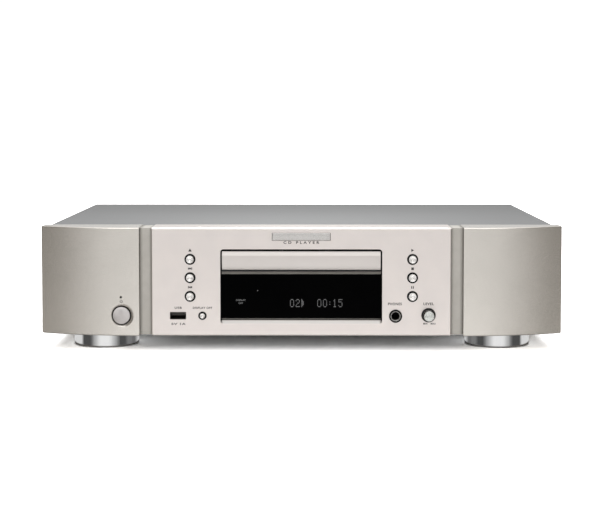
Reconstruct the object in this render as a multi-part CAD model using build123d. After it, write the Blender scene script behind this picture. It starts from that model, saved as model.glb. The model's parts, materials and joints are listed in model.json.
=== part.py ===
from build123d import *
import math
import os

# A full-width compact disc player, in millimetres.
# Origin: bottom centre of the whole player, on the surface that it stands on.
# +Z is up, the front looks along -Y, and +X is to the right when seen from the front.

# ---- driving dimensions -------------------------------------------------------------
WIDTH = 440.0
DEPTH = 341.0  # from the level knob's face to the ends of the rear jacks
HEIGHT = 104.5

KNOB_PROUD = 8.0  # level knob in front of the centre panel
JACK_PROUD = 12.5  # jacks behind the rear panel
FOOT_HEIGHT = 13.6
PAN_SHEET = 1.2
PAN_TOP = FOOT_HEIGHT + PAN_SHEET
SHEET = 1.0  # steel sheet of cover and rear panel

PANEL_Y = -DEPTH / 2 + KNOB_PROUD  # front face of the centre panel
PANEL_THICK = 5.5
PANEL_BACK = PANEL_Y + PANEL_THICK
PANEL_HALF = 124.8
PANEL_BOTTOM = 14.1
PANEL_EDGE = 1.3  # rounding of the panel's top front edge
PANEL_SIDE_CHAMFER = 0.5
FLANGE = 2.2  # thickness of the top flanges
FASCIA_BACK = PANEL_Y + 36.0
REAR_Y = DEPTH / 2 - JACK_PROUD  # outer face of the rear panel

CHEEK_INNER = 135.4
CHEEK_SWEEP = 18.4  # how far the cheek falls back at its outer edge
CHEEK_WALL = 4.0
CHEEK_CORNER_R = 3.0  # fold at the outer edge
CHEEK_Y = PANEL_Y + 0.3

COVER_HALF = 216.5
COVER_TOP = HEIGHT - 0.6

# recess in the centre panel that holds the tray door and the display window
RECESS_HALF = 67.5
RECESS_BOTTOM = 24.1
RECESS_TOP = 86.5
RECESS_LIP = 2.6  # sloped lower edge
RECESS_DRAFT = 0.9

DOOR_HALF = 66.1
DOOR_BOTTOM = 69.4
DOOR_TOP = 84.6
DOOR_THICK = 6.0

WINDOW_HALF = 66.6
WINDOW_BOTTOM = 26.9
WINDOW_TOP = 67.6
WINDOW_STRIP_LOW = 1.4  # height of the sloped strip along the bottom
WINDOW_STRIP_HIGH = 2.1  # and along the top

SUBFRAME_THICK = 3.5
SUBFRAME_BACK = PANEL_BACK + SUBFRAME_THICK
BOARD_Y = PANEL_Y + 18.5  # front face of the front circuit board
BOARD_THICK = 1.6

# round controls: x, z
BUTTON_X = 92.75
BUTTON_Z = (78.1, 62.7, 47.1)
BUTTONS = {
    "eject_button": (-BUTTON_X, BUTTON_Z[0]),
    "skip_forward_button": (-BUTTON_X, BUTTON_Z[1]),
    "skip_back_button": (-BUTTON_X, BUTTON_Z[2]),
    "play_button": (BUTTON_X, BUTTON_Z[0]),
    "stop_button": (BUTTON_X, BUTTON_Z[1]),
    "pause_button": (BUTTON_X, BUTTON_Z[2]),
}
BUTTON_R = 3.4
BUTTON_RING_R = 4.6
DISPLAY_BUTTON = (-82.5, 30.8)
DISPLAY_BUTTON_R = 2.6
DISPLAY_RING_R = 3.5
RING_GAP = 0.2  # between a button and its ring
POWER = (-150.4, 30.8)
POWER_R = 7.1
POWER_RING_R = 7.75
POWER_DISH_R = 9.85
LED = (-150.8, 46.1)
LED_R = 1.0
USB = (-102.9, 30.8)
PHONES = (78.7, 30.6)
PHONES_BORE_R = 3.25
PHONES_HOLE_R = 4.9
LEVEL = (106.2, 31.4)
LEVEL_R = 4.95
SHAFT_R = 3.0
KNOB_CHAMFER = 0.9
BADGE_HALF = 24.2
BADGE_BOTTOM = 94.0
BADGE_TOP = 99.9

RUNNING = 0.05  # radial clearance of shafts that turn or slide

FOOT_R = 27.75
FOOT_X = 169.2
FOOT_Y = (-111.0, 112.0)
PAD_PROUD = 0.5
FOOT_ROUND = 0.5

# disc tray and its loader
DISC_Y = -96.0  # centre of the disc, tray closed
TRAY_HALF = 64.0
TRAY_FRONT = PANEL_Y + 6.1
TRAY_REAR = 35.0
TRAY_SKIRT_BOTTOM = 70.5
TRAY_FLOOR_BOTTOM = 74.0
TRAY_RIM = 82.0
DISC_SEAT = 77.4
DISC_SEAT_R = 60.5
SMALL_DISC_SEAT = 76.4
SMALL_DISC_SEAT_R = 41.0
SLOT_HALF = 21.0
TRAY_TRAVEL = 137.0

LOADER_INNER = 64.5
LOADER_WALL = 3.0
LOADER_FRONT = -134.0
LOADER_REAR = 42.0
LOADER_FLOOR = 31.5
LOADER_TOP = 86.2

TRAY_MODULE = 1.0
PINION_TEETH = 16
PINION_R = TRAY_MODULE * PINION_TEETH / 2
PINION_X = -48.0
PINION_Y = -125.0
WHEEL_R = 14.0
PULLEY_R = 3.0
BELT_WIDTH = 1.2
LOADING_MOTOR_Y = -85.0
WHEEL_BOTTOM = 59.5
WHEEL_TOP = 65.5

DECK_TOP = 68.5
DECK_THICK = 2.0
DECK_LEFT = -33.0
DECK_RIGHT = 44.0
DECK_FRONT = -121.0
DECK_REAR = 4.0
DECK_HINGE = (6.0, 62.0)  # y, z
HINGE_PIN_R = 2.5
ROD_X = 24.0
ROD_Z = 60.0
ROD_R = 1.5
SLED_HALF = 27.0
SLED_FRONT = -79.0
SLED_REAR = -45.0
SLED_BOTTOM = 53.0
SLED_TOP = 64.5
LENS_Y = -72.0
SLED_MODULE = 0.8
SLED_TEETH = 12
SLED_GEAR_R = SLED_MODULE * SLED_TEETH / 2
SLED_RACK_X = 30.0
SLED_GEAR_X = SLED_RACK_X + SLED_GEAR_R
SLED_GEAR_Y = -45.0

# rear jacks: x of each, on one height
JACK_Z = 48.0
PHONO_X = (170.0, 151.0, 110.0, 52.0, 33.0)
PHONO_R = 4.15
OPTICAL_X = 90.0
MAINS_X = -170.0
JACK_BLOCKS = ((141.0, 180.0), (101.0, 119.0), (23.0, 62.0))

MAIN_BOARD_Z = 24.0


# ---- helpers ------------------------------------------------------------------------
def block(x0, x1, y0, y1, z0, z1):
    """A box between two corners."""
    return Pos((x0 + x1) / 2, (y0 + y1) / 2, (z0 + z1) / 2) * Box(x1 - x0, y1 - y0, z1 - z0)


def rod_x(y, z, radius, x0, x1):
    return Pos((x0 + x1) / 2, y, z) * Rot(0, 90, 0) * Cylinder(radius, x1 - x0)


def rod_y(x, z, radius, y0, y1):
    return Pos(x, (y0 + y1) / 2, z) * Rot(90, 0, 0) * Cylinder(radius, y1 - y0)


def rod_z(x, y, radius, z0, z1):
    return Pos(x, y, (z0 + z1) / 2) * Cylinder(radius, z1 - z0)


def cone_y(x, z, front_r, back_r, y0, y1):
    """A cone along Y, front_r at y0 and back_r at y1."""
    return Pos(x, (y0 + y1) / 2, z) * Rot(90, 0, 0) * Cone(back_r, front_r, y1 - y0)


def prism_x(points, x0, x1):
    """A (y, z) outline extruded along X."""
    return extrude(Plane.YZ.offset(x0) * make_face(Polyline(*points, close=True)), x1 - x0)


def prism_y(face, y0, y1):
    """An (x, z) face extruded along Y."""
    return extrude(Plane.XZ.offset(-y1) * face, y1 - y0)


def prism_z(face, z0, z1):
    """An (x, y) face extruded along Z."""
    return extrude(Plane.XY.offset(z0) * face, z1 - z0)


def rounded_face(x0, x1, z0, z1, radius):
    """A rounded rectangle in the plane of the front."""
    return Pos((x0 + x1) / 2, (z0 + z1) / 2) * RectangleRounded(x1 - x0, z1 - z0, radius)


def save(name, shape):
    """Writes one node."""
    solids = shape if isinstance(shape, list) else [shape]
    parts = [solid for item in solids for solid in item.solids()]
    node = parts[0] if len(parts) == 1 else Compound(children=parts)
    node.label = name
    export_step(node, f"parts/{name}.step")


def gear_face(teeth, module, first_angle, backlash=0.12, addendum=0.95):
    """An involute gear, with one tooth pointing along first_angle (degrees)."""
    pitch_r = module * teeth / 2
    pressure = math.radians(20)
    base_r = pitch_r * math.cos(pressure)
    root_r = pitch_r - 1.2 * module
    tip_r = pitch_r + addendum * module
    half = math.pi / (2 * teeth) - backlash / (2 * pitch_r)
    involute_at_pitch = math.tan(pressure) - pressure

    def half_angle(radius):
        angle = math.acos(min(1.0, base_r / radius))
        return half + involute_at_pitch - (math.tan(angle) - angle)

    start_r = max(base_r, root_r)
    radii = [start_r + (tip_r - start_r) * i / 5 for i in range(6)]
    flank = [(root_r, half_angle(start_r))] + [(r, half_angle(r)) for r in radii]
    points = []
    for tooth in range(teeth):
        centre = math.radians(first_angle) + 2 * math.pi * tooth / teeth
        for radius, angle in flank:
            points.append((radius * math.cos(centre - angle), radius * math.sin(centre - angle)))
        for radius, angle in reversed(flank):
            points.append((radius * math.cos(centre + angle), radius * math.sin(centre + angle)))
    return make_face(Polyline(*points, close=True))


def rack_face(pitch_x, mesh_y, y0, y1, module, back_x, backlash=0.12, addendum=0.65):
    """A rack along Y whose teeth point along +X, with a space at mesh_y."""
    pitch = math.pi * module
    slope = math.tan(math.radians(20))
    tip_x = pitch_x + addendum * module
    root_x = pitch_x - 1.2 * module
    half = pitch / 4 - backlash / 2
    tip_half = half - (tip_x - pitch_x) * slope
    root_half = half + (pitch_x - root_x) * slope
    first = math.ceil((y0 + root_half - mesh_y) / pitch - 0.5)
    last = math.floor((y1 - root_half - mesh_y) / pitch - 0.5)
    points = [(back_x, y0), (root_x, y0)]
    for tooth in range(first, last + 1):
        centre = mesh_y + (tooth + 0.5) * pitch
        points.append((root_x, centre - root_half))
        points.append((tip_x, centre - tip_half))
        points.append((tip_x, centre + tip_half))
        points.append((root_x, centre + root_half))
    points += [(root_x, y1), (back_x, y1)]
    return make_face(Polyline(*points, close=True))


# ---- front --------------------------------------------------------------------------
def front_holes(y0, y1):
    """The holes through the centre panel for its rings, sockets and knob."""
    holes = [rod_y(x, z, BUTTON_RING_R, y0, y1) for x, z in BUTTONS.values()]
    holes.append(rod_y(*DISPLAY_BUTTON, DISPLAY_RING_R, y0, y1))
    holes.append(rod_y(*PHONES, PHONES_HOLE_R, y0, y1))
    holes.append(rod_y(*LEVEL, LEVEL_R + 0.6, y0, y1))
    holes.append(prism_y(rounded_face(USB[0] - 6.8, USB[0] + 6.8, USB[1] - 3.1, USB[1] + 3.1, 0.6), y0, y1))
    return holes


def centre_panel():
    profile = [
        (PANEL_Y, PANEL_BOTTOM + 0.6),
        (PANEL_Y, HEIGHT - PANEL_EDGE),
        (PANEL_Y + 0.35 * PANEL_EDGE, HEIGHT - 0.35 * PANEL_EDGE),
        (PANEL_Y + PANEL_EDGE, HEIGHT),
        (FASCIA_BACK, HEIGHT),
        (FASCIA_BACK, HEIGHT - FLANGE),
        (PANEL_BACK, HEIGHT - FLANGE),
        (PANEL_BACK, PANEL_BOTTOM),
        (PANEL_Y + 0.6, PANEL_BOTTOM),
    ]
    panel = prism_x(profile, -PANEL_HALF, PANEL_HALF)
    sides = [edge for edge in panel.edges().filter_by(Axis.Z) if edge.center().Y < PANEL_Y + 0.1]
    panel = chamfer(sides, PANEL_SIDE_CHAMFER)
    mouth = Plane.XZ.offset(-PANEL_Y) * rounded_face(-RECESS_HALF, RECESS_HALF, RECESS_BOTTOM, RECESS_TOP, 2.6)
    throat_half = RECESS_HALF - RECESS_DRAFT
    throat = rounded_face(-throat_half, throat_half, RECESS_BOTTOM + RECESS_LIP, RECESS_TOP - RECESS_DRAFT, 0.6)
    throat_y = PANEL_Y + RECESS_LIP
    panel -= loft([mouth, Plane.XZ.offset(-throat_y) * throat])
    panel -= prism_y(throat, throat_y - 0.01, PANEL_BACK + 1)
    for hole in front_holes(PANEL_Y - 1, PANEL_BACK + 1):
        panel -= hole
    return panel


def cheek_arc(inset):
    """The cheek's front curve in plan, inset from its face: start, middle and end of the arc."""
    span = WIDTH / 2 - CHEEK_INNER
    radius = (span**2 + CHEEK_SWEEP**2) / (2 * CHEEK_SWEEP)
    centre_y = CHEEK_Y + radius

    def at(x):
        return (x, centre_y - math.sqrt((radius - inset) ** 2 - (x - CHEEK_INNER) ** 2))

    start = at(CHEEK_INNER + inset)
    end = at(WIDTH / 2 - inset)
    return start, at((start[0] + end[0]) / 2), end


def cheek_surface_y(x):
    """How far back the cheek's face is at x."""
    span = WIDTH / 2 - CHEEK_INNER
    radius = (span**2 + CHEEK_SWEEP**2) / (2 * CHEEK_SWEEP)
    return CHEEK_Y + radius - math.sqrt(radius**2 - (abs(x) - CHEEK_INNER) ** 2)


def cheek_face(inset, back_y):
    start, middle, end = cheek_arc(inset)
    front = ThreePointArc(start, middle, end)
    rest = Polyline(end, (end[0], back_y), (start[0], back_y), start)
    return make_face(front + rest)


def right_cheek_blank():
    cheek = prism_z(cheek_face(0, FASCIA_BACK), FOOT_HEIGHT, HEIGHT)
    corner = [edge for edge in cheek.edges().filter_by(Axis.Z) if edge.center().X > WIDTH / 2 - 1]
    cheek = fillet([edge for edge in corner if edge.center().Y < FASCIA_BACK - 1], CHEEK_CORNER_R)
    front_edges = [
        edge
        for edge in cheek.edges()
        if edge.center().Y < FASCIA_BACK - 12 and edge.center().X > CHEEK_INNER + 8
    ]
    cheek = fillet([edge for edge in front_edges if edge.center().X < WIDTH / 2 - 8], 1.0)
    hollow = prism_z(cheek_face(CHEEK_WALL, FASCIA_BACK + 1), FOOT_HEIGHT + FLANGE, HEIGHT - FLANGE)
    return cheek - hollow


def right_cheek():
    return right_cheek_blank()


def left_cheek():
    cheek = mirror(right_cheek_blank(), Plane.YZ)
    cheek -= rod_y(*POWER, POWER_RING_R, PANEL_Y - 1, PANEL_Y + 12)
    dish_depth = 1.5
    face_y = cheek_surface_y(POWER[0])
    cheek -= cone_y(*POWER, POWER_DISH_R + 1.2, POWER_RING_R - 0.2, face_y - 1.0, face_y + dish_depth)
    cheek -= rod_y(*LED, LED_R + 0.05, PANEL_Y - 1, PANEL_Y + 12)
    return cheek


def front_subframe():
    """The moulded frame behind the panel and cheeks; its two ribs show in the grooves."""
    low = PAN_TOP + 0.2
    top = HEIGHT - FLANGE - 0.1
    rib_front = PANEL_Y + 4.5
    rib_top = HEIGHT - 0.6
    outer = CHEEK_INNER - 0.2
    wing_y = FASCIA_BACK + 0.3
    frame = block(-outer, outer, PANEL_BACK, SUBFRAME_BACK, low, top)
    for side in (-1, 1):
        rib = sorted((side * (PANEL_HALF + 0.2), side * outer))
        frame += block(*rib, rib_front, SUBFRAME_BACK, PANEL_BOTTOM + 0.3, rib_top)
        frame += block(*rib, rib_front, FASCIA_BACK, HEIGHT - FLANGE, rib_top)
        web = sorted((side * (outer - 2.5), side * outer))
        frame += block(*web, PANEL_BACK, wing_y + 3, low + 2, top)
        wing = sorted((side * (outer - 2.5), side * 211.8))
        frame += block(*wing, wing_y, wing_y + 3, low + 2, top - 0.4)
    frame += block(-outer, outer, PANEL_BACK, wing_y + 5, top - 2.4, top)
    frame += block(-outer, outer, PANEL_BACK, SUBFRAME_BACK + 12, low, low + 2.4)
    frame -= block(-70.2, 70.2, PANEL_BACK - 1, SUBFRAME_BACK + 1, 22.3, 89.2)
    for x, z in BUTTONS.values():
        frame -= rod_y(x, z, 2.6, PANEL_BACK - 1, SUBFRAME_BACK + 1)
    frame -= rod_y(*DISPLAY_BUTTON, 2.2, PANEL_BACK - 1, SUBFRAME_BACK + 1)
    frame -= rod_y(*PHONES, 4.6, PANEL_BACK - 1, SUBFRAME_BACK + 1)
    frame -= rod_y(*LEVEL, 5.0, PANEL_BACK - 1, SUBFRAME_BACK + 1)
    frame -= block(USB[0] - 6.9, USB[0] + 6.9, PANEL_BACK - 1, SUBFRAME_BACK + 1, USB[1] - 3.2, USB[1] + 3.2)
    return frame


def display_bezel():
    bezel = block(-70, 70, PANEL_BACK, SUBFRAME_BACK, 22.5, 89.0)
    bezel -= block(-66.9, 66.9, PANEL_BACK - 1, SUBFRAME_BACK + 1, 68.8, 85.4)
    bezel -= block(-60, 60, PANEL_BACK - 1, SUBFRAME_BACK + 1, 32, 62)
    return bezel


def display_window():
    """Smoked window with a sloped strip along its top and bottom."""
    front = PANEL_Y + 2.7
    shoulder = front + 1.6
    profile = [
        (PANEL_BACK, WINDOW_BOTTOM),
        (shoulder, WINDOW_BOTTOM),
        (front, WINDOW_BOTTOM + WINDOW_STRIP_LOW),
        (front, WINDOW_TOP - WINDOW_STRIP_HIGH),
        (shoulder, WINDOW_TOP),
        (PANEL_BACK, WINDOW_TOP),
    ]
    return prism_x(profile, -WINDOW_HALF, WINDOW_HALF)


def display_module():
    """Fluorescent display tube with its exhaust tip, mounted on the front board."""
    tube = block(-47, 47, SUBFRAME_BACK + 0.7, BOARD_Y, 37, 59)
    return tube + rod_x(BOARD_Y - 4, 48, 2, 47, 52)


def front_circuit_board():
    outline = [
        (-112, 20), (112, 20), (112, 86), (80, 86), (80, 67), (-80, 67), (-80, 86), (-112, 86),
    ]
    board = prism_y(make_face(Polyline(*outline, close=True)), BOARD_Y, BOARD_Y + BOARD_THICK)
    return board - block(PHONES[0] - 7, PHONES[0] + 7, BOARD_Y - 1, BOARD_Y + 3, PHONES[1] - 7, PHONES[1] + 7)


def tact_switches():
    switches = []
    for x, z in list(BUTTONS.values()) + [DISPLAY_BUTTON]:
        body = block(x - 3, x + 3, BOARD_Y - 3.5, BOARD_Y, z - 3, z + 3)
        switches.append(body + rod_y(x, z, 1.7, BOARD_Y - 4.4, BOARD_Y - 3.5))
    return switches


def button_ring(x, z, outer_r, inner_r, y0, y1):
    ring = rod_y(x, z, outer_r, y0, y1) - rod_y(x, z, inner_r, y0 - 1, y1 + 1)
    return chamfer(ring.edges().sort_by(Axis.Y)[:2], 0.15)


def button_rings():
    front = PANEL_Y - 0.4
    rings = [
        button_ring(x, z, BUTTON_RING_R, BUTTON_R + RING_GAP, front, PANEL_BACK) for x, z in BUTTONS.values()
    ]
    rings.append(
        button_ring(*DISPLAY_BUTTON, DISPLAY_RING_R, DISPLAY_BUTTON_R + RING_GAP, front, PANEL_BACK)
    )
    rings.append(button_ring(*POWER, POWER_RING_R, POWER_R + RING_GAP, CHEEK_Y + 1.2, CHEEK_Y + 4.6))
    return rings


def push_button(x, z, radius, stem_r, clip_r, proud):
    """A turned cap with a shallow dished face, its stem and the clip that keeps it in."""
    face_y = PANEL_Y - proud
    cap = rod_y(x, z, radius, face_y, PANEL_BACK - 1.0)
    cap = chamfer(cap.edges().sort_by(Axis.Y)[0], 0.25)
    cap -= cone_y(x, z, radius - 0.45, 0.3, face_y - 0.01, face_y + 0.45)
    stem = rod_y(x, z, stem_r, PANEL_BACK - 1.0, BOARD_Y - 5.3)
    clip = rod_y(x, z, clip_r, SUBFRAME_BACK + 0.2, SUBFRAME_BACK + 1.2)
    return cap + stem + clip


def power_button():
    """A domed cap on a stem, kept in by a flange behind the cheek."""
    x, z = POWER
    face_y = CHEEK_Y - 0.6
    dome_r = 30.0
    flange_y = CHEEK_Y + 6.4
    cap = rod_y(x, z, POWER_R, face_y, flange_y)
    ball = Pos(x, face_y + dome_r, z) * Sphere(dome_r)
    cap = (cap & ball) + rod_y(x, z, POWER_R, face_y + 1.5, flange_y)
    flange = rod_y(x, z, 9.0, flange_y, flange_y + 1.2)
    stem = rod_y(x, z, 3.0, flange_y + 1.2, CHEEK_Y + 10.2)
    return cap + flange + stem


def power_switch():
    x, z = POWER
    return block(x - 8, x + 8, CHEEK_Y + 13.4, FASCIA_BACK + 0.3, z - 6, z + 6)


def power_led():
    dome = Pos(LED[0], CHEEK_Y + 1.4, LED[1]) * Sphere(LED_R)
    return rod_y(*LED, LED_R, CHEEK_Y + 1.4, CHEEK_Y + 9) + dome


def usb_socket():
    """A type A socket: metal shell, and the tongue that carries its contacts."""
    x, z = USB
    front = PANEL_Y - 0.2
    shell = block(x - 6.6, x + 6.6, front, BOARD_Y, z - 2.9, z + 2.9)
    shell -= block(x - 6.2, x + 6.2, front - 1, BOARD_Y - 2, z - 2.55, z + 2.55)
    tongue = block(x - 5.55, x + 5.55, front + 1.2, BOARD_Y - 2, z + 0.4, z + 2.3)
    return shell + tongue


def phones_jack():
    x, z = PHONES
    front = PANEL_Y - 1.2
    rear = PANEL_Y + 34
    jack = rod_y(x, z, 4.2, front, SUBFRAME_BACK + 0.1)
    jack += block(x - 6.5, x + 6.5, SUBFRAME_BACK + 0.1, rear, z - 6.5, z + 6.5)
    jack -= rod_y(x, z, PHONES_BORE_R, front - 1, rear - 3)
    return jack - cone_y(x, z, PHONES_BORE_R + 0.45, PHONES_BORE_R, front, front + 0.5)


def phones_ring():
    x, z = PHONES
    ring = rod_y(x, z, 5.45, PANEL_Y - 1.4, PANEL_Y) + rod_y(x, z, 4.85, PANEL_Y, PANEL_BACK)
    ring = chamfer(ring.edges().sort_by(Axis.Y)[0], 0.4)
    return ring - rod_y(x, z, 4.25, PANEL_Y - 3, PANEL_BACK + 1)


def level_control():
    x, z = LEVEL
    body = block(x - 5.5, x + 5.5, PANEL_Y + 10.5, BOARD_Y, z - 6, z + 6)
    body += rod_y(x, z, 4.6, PANEL_BACK, PANEL_Y + 10.5)
    return body - rod_y(x, z, SHAFT_R + RUNNING, PANEL_BACK - 1, BOARD_Y - 2)


def level_shaft():
    return rod_y(*LEVEL, SHAFT_R, PANEL_Y - KNOB_PROUD + 2, BOARD_Y - 2.5)


def level_knob():
    x, z = LEVEL
    front = PANEL_Y - KNOB_PROUD
    knob = rod_y(x, z, LEVEL_R, front, PANEL_Y + 4)
    knob = chamfer(knob.edges().sort_by(Axis.Y)[0], KNOB_CHAMFER)
    knob -= block(x - 0.35, x + 0.35, front - 1, front + 0.4, z + 1.6, z + LEVEL_R + 1)
    return knob - rod_y(x, z, SHAFT_R, PANEL_Y - KNOB_PROUD + 2, PANEL_Y + 5)


def badge_plate():
    """A blank bar above the tray."""
    plate = block(-BADGE_HALF, BADGE_HALF, PANEL_Y - 0.7, PANEL_Y, BADGE_BOTTOM, BADGE_TOP)
    return chamfer(plate.faces().sort_by(Axis.Y)[0].edges(), 0.35)


# ---- case ---------------------------------------------------------------------------
def foot_centres():
    return [(side * FOOT_X, y) for y in FOOT_Y for side in (-1, 1)]


def feet():
    made = []
    for x, y in foot_centres():
        foot = rod_z(x, y, FOOT_R, PAD_PROUD, FOOT_HEIGHT)
        foot = fillet(foot.edges().sort_by(Axis.Z)[0], FOOT_ROUND)
        foot -= rod_z(x, y, 20, PAD_PROUD - 1, 6)
        made.append(foot - rod_z(x, y, 2.2, 0, FOOT_HEIGHT + 1))
    return made


def foot_pads():
    return [rod_z(x, y, 19.8, 0, 6) - rod_z(x, y, 5, -1, 7) for x, y in foot_centres()]


def foot_screws():
    made = []
    for x, y in foot_centres():
        head = rod_z(x, y, 4, 3.4, 6)
        head -= block(x - 3, x + 3, y - 0.5, y + 0.5, 3, 4.4)
        made.append(head + rod_z(x, y, 2, 6, 20))
    return made


COVER_SCREW_Y = (-40.0, 110.0)
COVER_SCREW_Z = 24.0
LIP_SCREW_X = (-190.0, -95.0, 0.0, 95.0, 190.0)
LIP_SCREW_Z = 98.0


def base_pan():
    """Folded steel tray with side and rear flanges, stand-offs and cooling slots."""
    half = COVER_HALF - SHEET - 2.0
    rear = REAR_Y - SHEET - 0.2
    low = FOOT_HEIGHT
    sheet = PAN_SHEET
    pan = block(-half, half, FASCIA_BACK + 0.3, rear, low, low + sheet)
    pan += block(-CHEEK_INNER + 0.4, CHEEK_INNER - 0.4, SUBFRAME_BACK, FASCIA_BACK + 0.3, low, low + sheet)
    for side in (-1, 1):
        inner, outer = sorted((side * (half - sheet), side * half))
        pan += block(inner, outer, FASCIA_BACK + 0.3, rear, low, 30)
    pan += block(-half, half, rear - sheet, rear, low, MAIN_BOARD_Z)
    for x in (-88, 50, 200):
        for y in (70, 145):
            pan += rod_z(x, y, 3.5, low + sheet, MAIN_BOARD_Z)
    slot_length = 42.0
    for group_x in (-168.0, 0.0, 120.0):
        for i in range(8):
            x = group_x + (i - 3.5) * 8.0
            pan -= block(x - 1.6, x + 1.6, 10, 10 + slot_length, low - 1, low + sheet + 1)
    for x, y in foot_centres():
        pan -= rod_z(x, y, 2.2, low - 1, low + sheet + 1)
    for y in COVER_SCREW_Y:
        pan -= rod_x(y, COVER_SCREW_Z, 1.7, -half - 1, -half + 3)
        pan -= rod_x(y, COVER_SCREW_Z, 1.7, half - 3, half + 1)
    return pan


def top_cover():
    """Folded steel cover: top, two sides and a lip over the rear panel."""
    outer = rounded_face(-COVER_HALF, COVER_HALF, 16.2 - 4, COVER_TOP, 2.0)
    inside = COVER_HALF - SHEET
    inner = rounded_face(-inside, inside, 0, COVER_TOP - SHEET, 1.0)
    cover = prism_y(outer, FASCIA_BACK + 0.2, REAR_Y + SHEET) - prism_y(inner, FASCIA_BACK - 1, REAR_Y + 2)
    cover -= block(-COVER_HALF - 1, COVER_HALF + 1, FASCIA_BACK - 1, REAR_Y + 2, 0, 16.2)
    cover += block(-inside, inside, REAR_Y, REAR_Y + SHEET, 92, COVER_TOP - SHEET)
    for y in COVER_SCREW_Y:
        cover -= rod_x(y, COVER_SCREW_Z, 1.7, -COVER_HALF - 1, -COVER_HALF + 2)
        cover -= rod_x(y, COVER_SCREW_Z, 1.7, COVER_HALF - 2, COVER_HALF + 1)
    for x in LIP_SCREW_X:
        cover -= rod_y(x, LIP_SCREW_Z, 1.7, REAR_Y - 1, REAR_Y + 3)
    return cover


def case_screws():
    """Identical pan-head screws of the cover's sides and its rear lip."""
    made = []
    head_r = 2.8
    for y in COVER_SCREW_Y:
        for side in (-1, 1):
            face = side * COVER_HALF
            head = rod_x(y, COVER_SCREW_Z, head_r, *sorted((face, face + side * 1.8)))
            shank = rod_x(y, COVER_SCREW_Z, 1.5, *sorted((face, face - side * 7)))
            slot_x = sorted((face + side * 1.0, face + side * 3))
            cross = block(*slot_x, y - 1.6, y + 1.6, COVER_SCREW_Z - 0.35, COVER_SCREW_Z + 0.35)
            cross += block(*slot_x, y - 0.35, y + 0.35, COVER_SCREW_Z - 1.6, COVER_SCREW_Z + 1.6)
            made.append(head + shank - cross)
    face = REAR_Y + SHEET
    for x in LIP_SCREW_X:
        screw = rod_y(x, LIP_SCREW_Z, head_r, face, face + 1.8) + rod_y(x, LIP_SCREW_Z, 1.5, face - 8, face)
        cross = block(x - 1.6, x + 1.6, face + 1, face + 3, LIP_SCREW_Z - 0.35, LIP_SCREW_Z + 0.35)
        cross += block(x - 0.35, x + 0.35, face + 1, face + 3, LIP_SCREW_Z - 1.6, LIP_SCREW_Z + 1.6)
        made.append(screw - cross)
    return made


def rear_panel():
    half = COVER_HALF - SHEET - 0.5
    panel = block(-half, half, REAR_Y - SHEET, REAR_Y, 16.2, COVER_TOP - SHEET - 0.3)
    for x in PHONO_X:
        panel -= rod_y(x, JACK_Z, PHONO_R + 0.1, REAR_Y - 3, REAR_Y + 1)
    panel -= block(OPTICAL_X - 5, OPTICAL_X + 5, REAR_Y - 3, REAR_Y + 1, JACK_Z - 5.2, JACK_Z + 5.2)
    panel -= block(MAINS_X - 11.2, MAINS_X + 11.2, REAR_Y - 3, REAR_Y + 1, JACK_Z - 7.2, JACK_Z + 7.2)
    for x in LIP_SCREW_X:
        panel -= rod_y(x, LIP_SCREW_Z, 1.7, REAR_Y - 3, REAR_Y + 1)
    return panel


# ---- rear sockets -------------------------------------------------------------------
def phono_jacks():
    made = []
    end = DEPTH / 2
    for x in PHONO_X:
        barrel = rod_y(x, JACK_Z, PHONO_R, REAR_Y - 4, end)
        barrel += rod_y(x, JACK_Z, 5.6, REAR_Y, REAR_Y + 1.5)
        barrel = chamfer(barrel.edges().sort_by(Axis.Y)[-1], 0.4)
        made.append(barrel - rod_y(x, JACK_Z, 1.7, end - 10.5, end + 1))
    return made


def jack_blocks():
    """Moulded housings that hold the phono jacks on the main board."""
    made = []
    for x0, x1 in JACK_BLOCKS:
        housing = block(x0, x1, REAR_Y - 13, REAR_Y - SHEET, MAIN_BOARD_Z + 1.6, JACK_Z + 9)
        for x in PHONO_X:
            if x0 < x < x1:
                housing -= rod_y(x, JACK_Z, PHONO_R, REAR_Y - 4, REAR_Y)
        made.append(housing)
    return made


def optical_socket():
    x = OPTICAL_X
    body = block(x - 4.9, x + 4.9, REAR_Y - 14, REAR_Y + 1, JACK_Z - 5.1, JACK_Z + 5.1)
    body -= block(x - 3.1, x + 3.1, REAR_Y - 9, REAR_Y + 2, JACK_Z - 3.1, JACK_Z + 3.1)
    legs = block(x - 4.9, x + 4.9, REAR_Y - 14, REAR_Y - 6, MAIN_BOARD_Z + 1.6, JACK_Z - 5.1)
    return body + legs + rod_y(x, JACK_Z, 0.8, REAR_Y - 10, REAR_Y - 8.2)


def mains_inlet():
    """Two-pin inlet with a figure-eight recess and a flange outside the panel."""
    x = MAINS_X
    body = block(x - 11, x + 11, REAR_Y - 17, REAR_Y, JACK_Z - 7, JACK_Z + 7)
    body += block(x - 16, x + 16, REAR_Y, REAR_Y + 1.5, JACK_Z - 9.5, JACK_Z + 9.5)
    floor = REAR_Y - 11.5
    recess = prism_y(rounded_face(x - 8.4, x + 8.4, JACK_Z - 4.4, JACK_Z + 4.4, 4.3), floor, REAR_Y + 3)
    body -= recess
    for side in (-1, 1):
        body += rod_y(x + side * 4.3, JACK_Z, 1.2, floor - 1, REAR_Y - 2)
    return body


# ---- inside -------------------------------------------------------------------------
CORE_X, CORE_Y = -165.0, 75.0


def transformer_core():
    """Laminated core with two windows, standing on its foot plate."""
    core = block(CORE_X - 33, CORE_X + 33, CORE_Y - 15, CORE_Y + 15, 17.6, 72.6)
    for side in (-1, 1):
        centre = CORE_X + side * 16.5
        core -= block(centre - 5.5, centre + 5.5, CORE_Y - 16, CORE_Y + 16, 28.6, 61.6)
    return core + block(CORE_X - 43, CORE_X + 43, CORE_Y - 15, CORE_Y + 15, PAN_TOP, 17.6)


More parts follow.
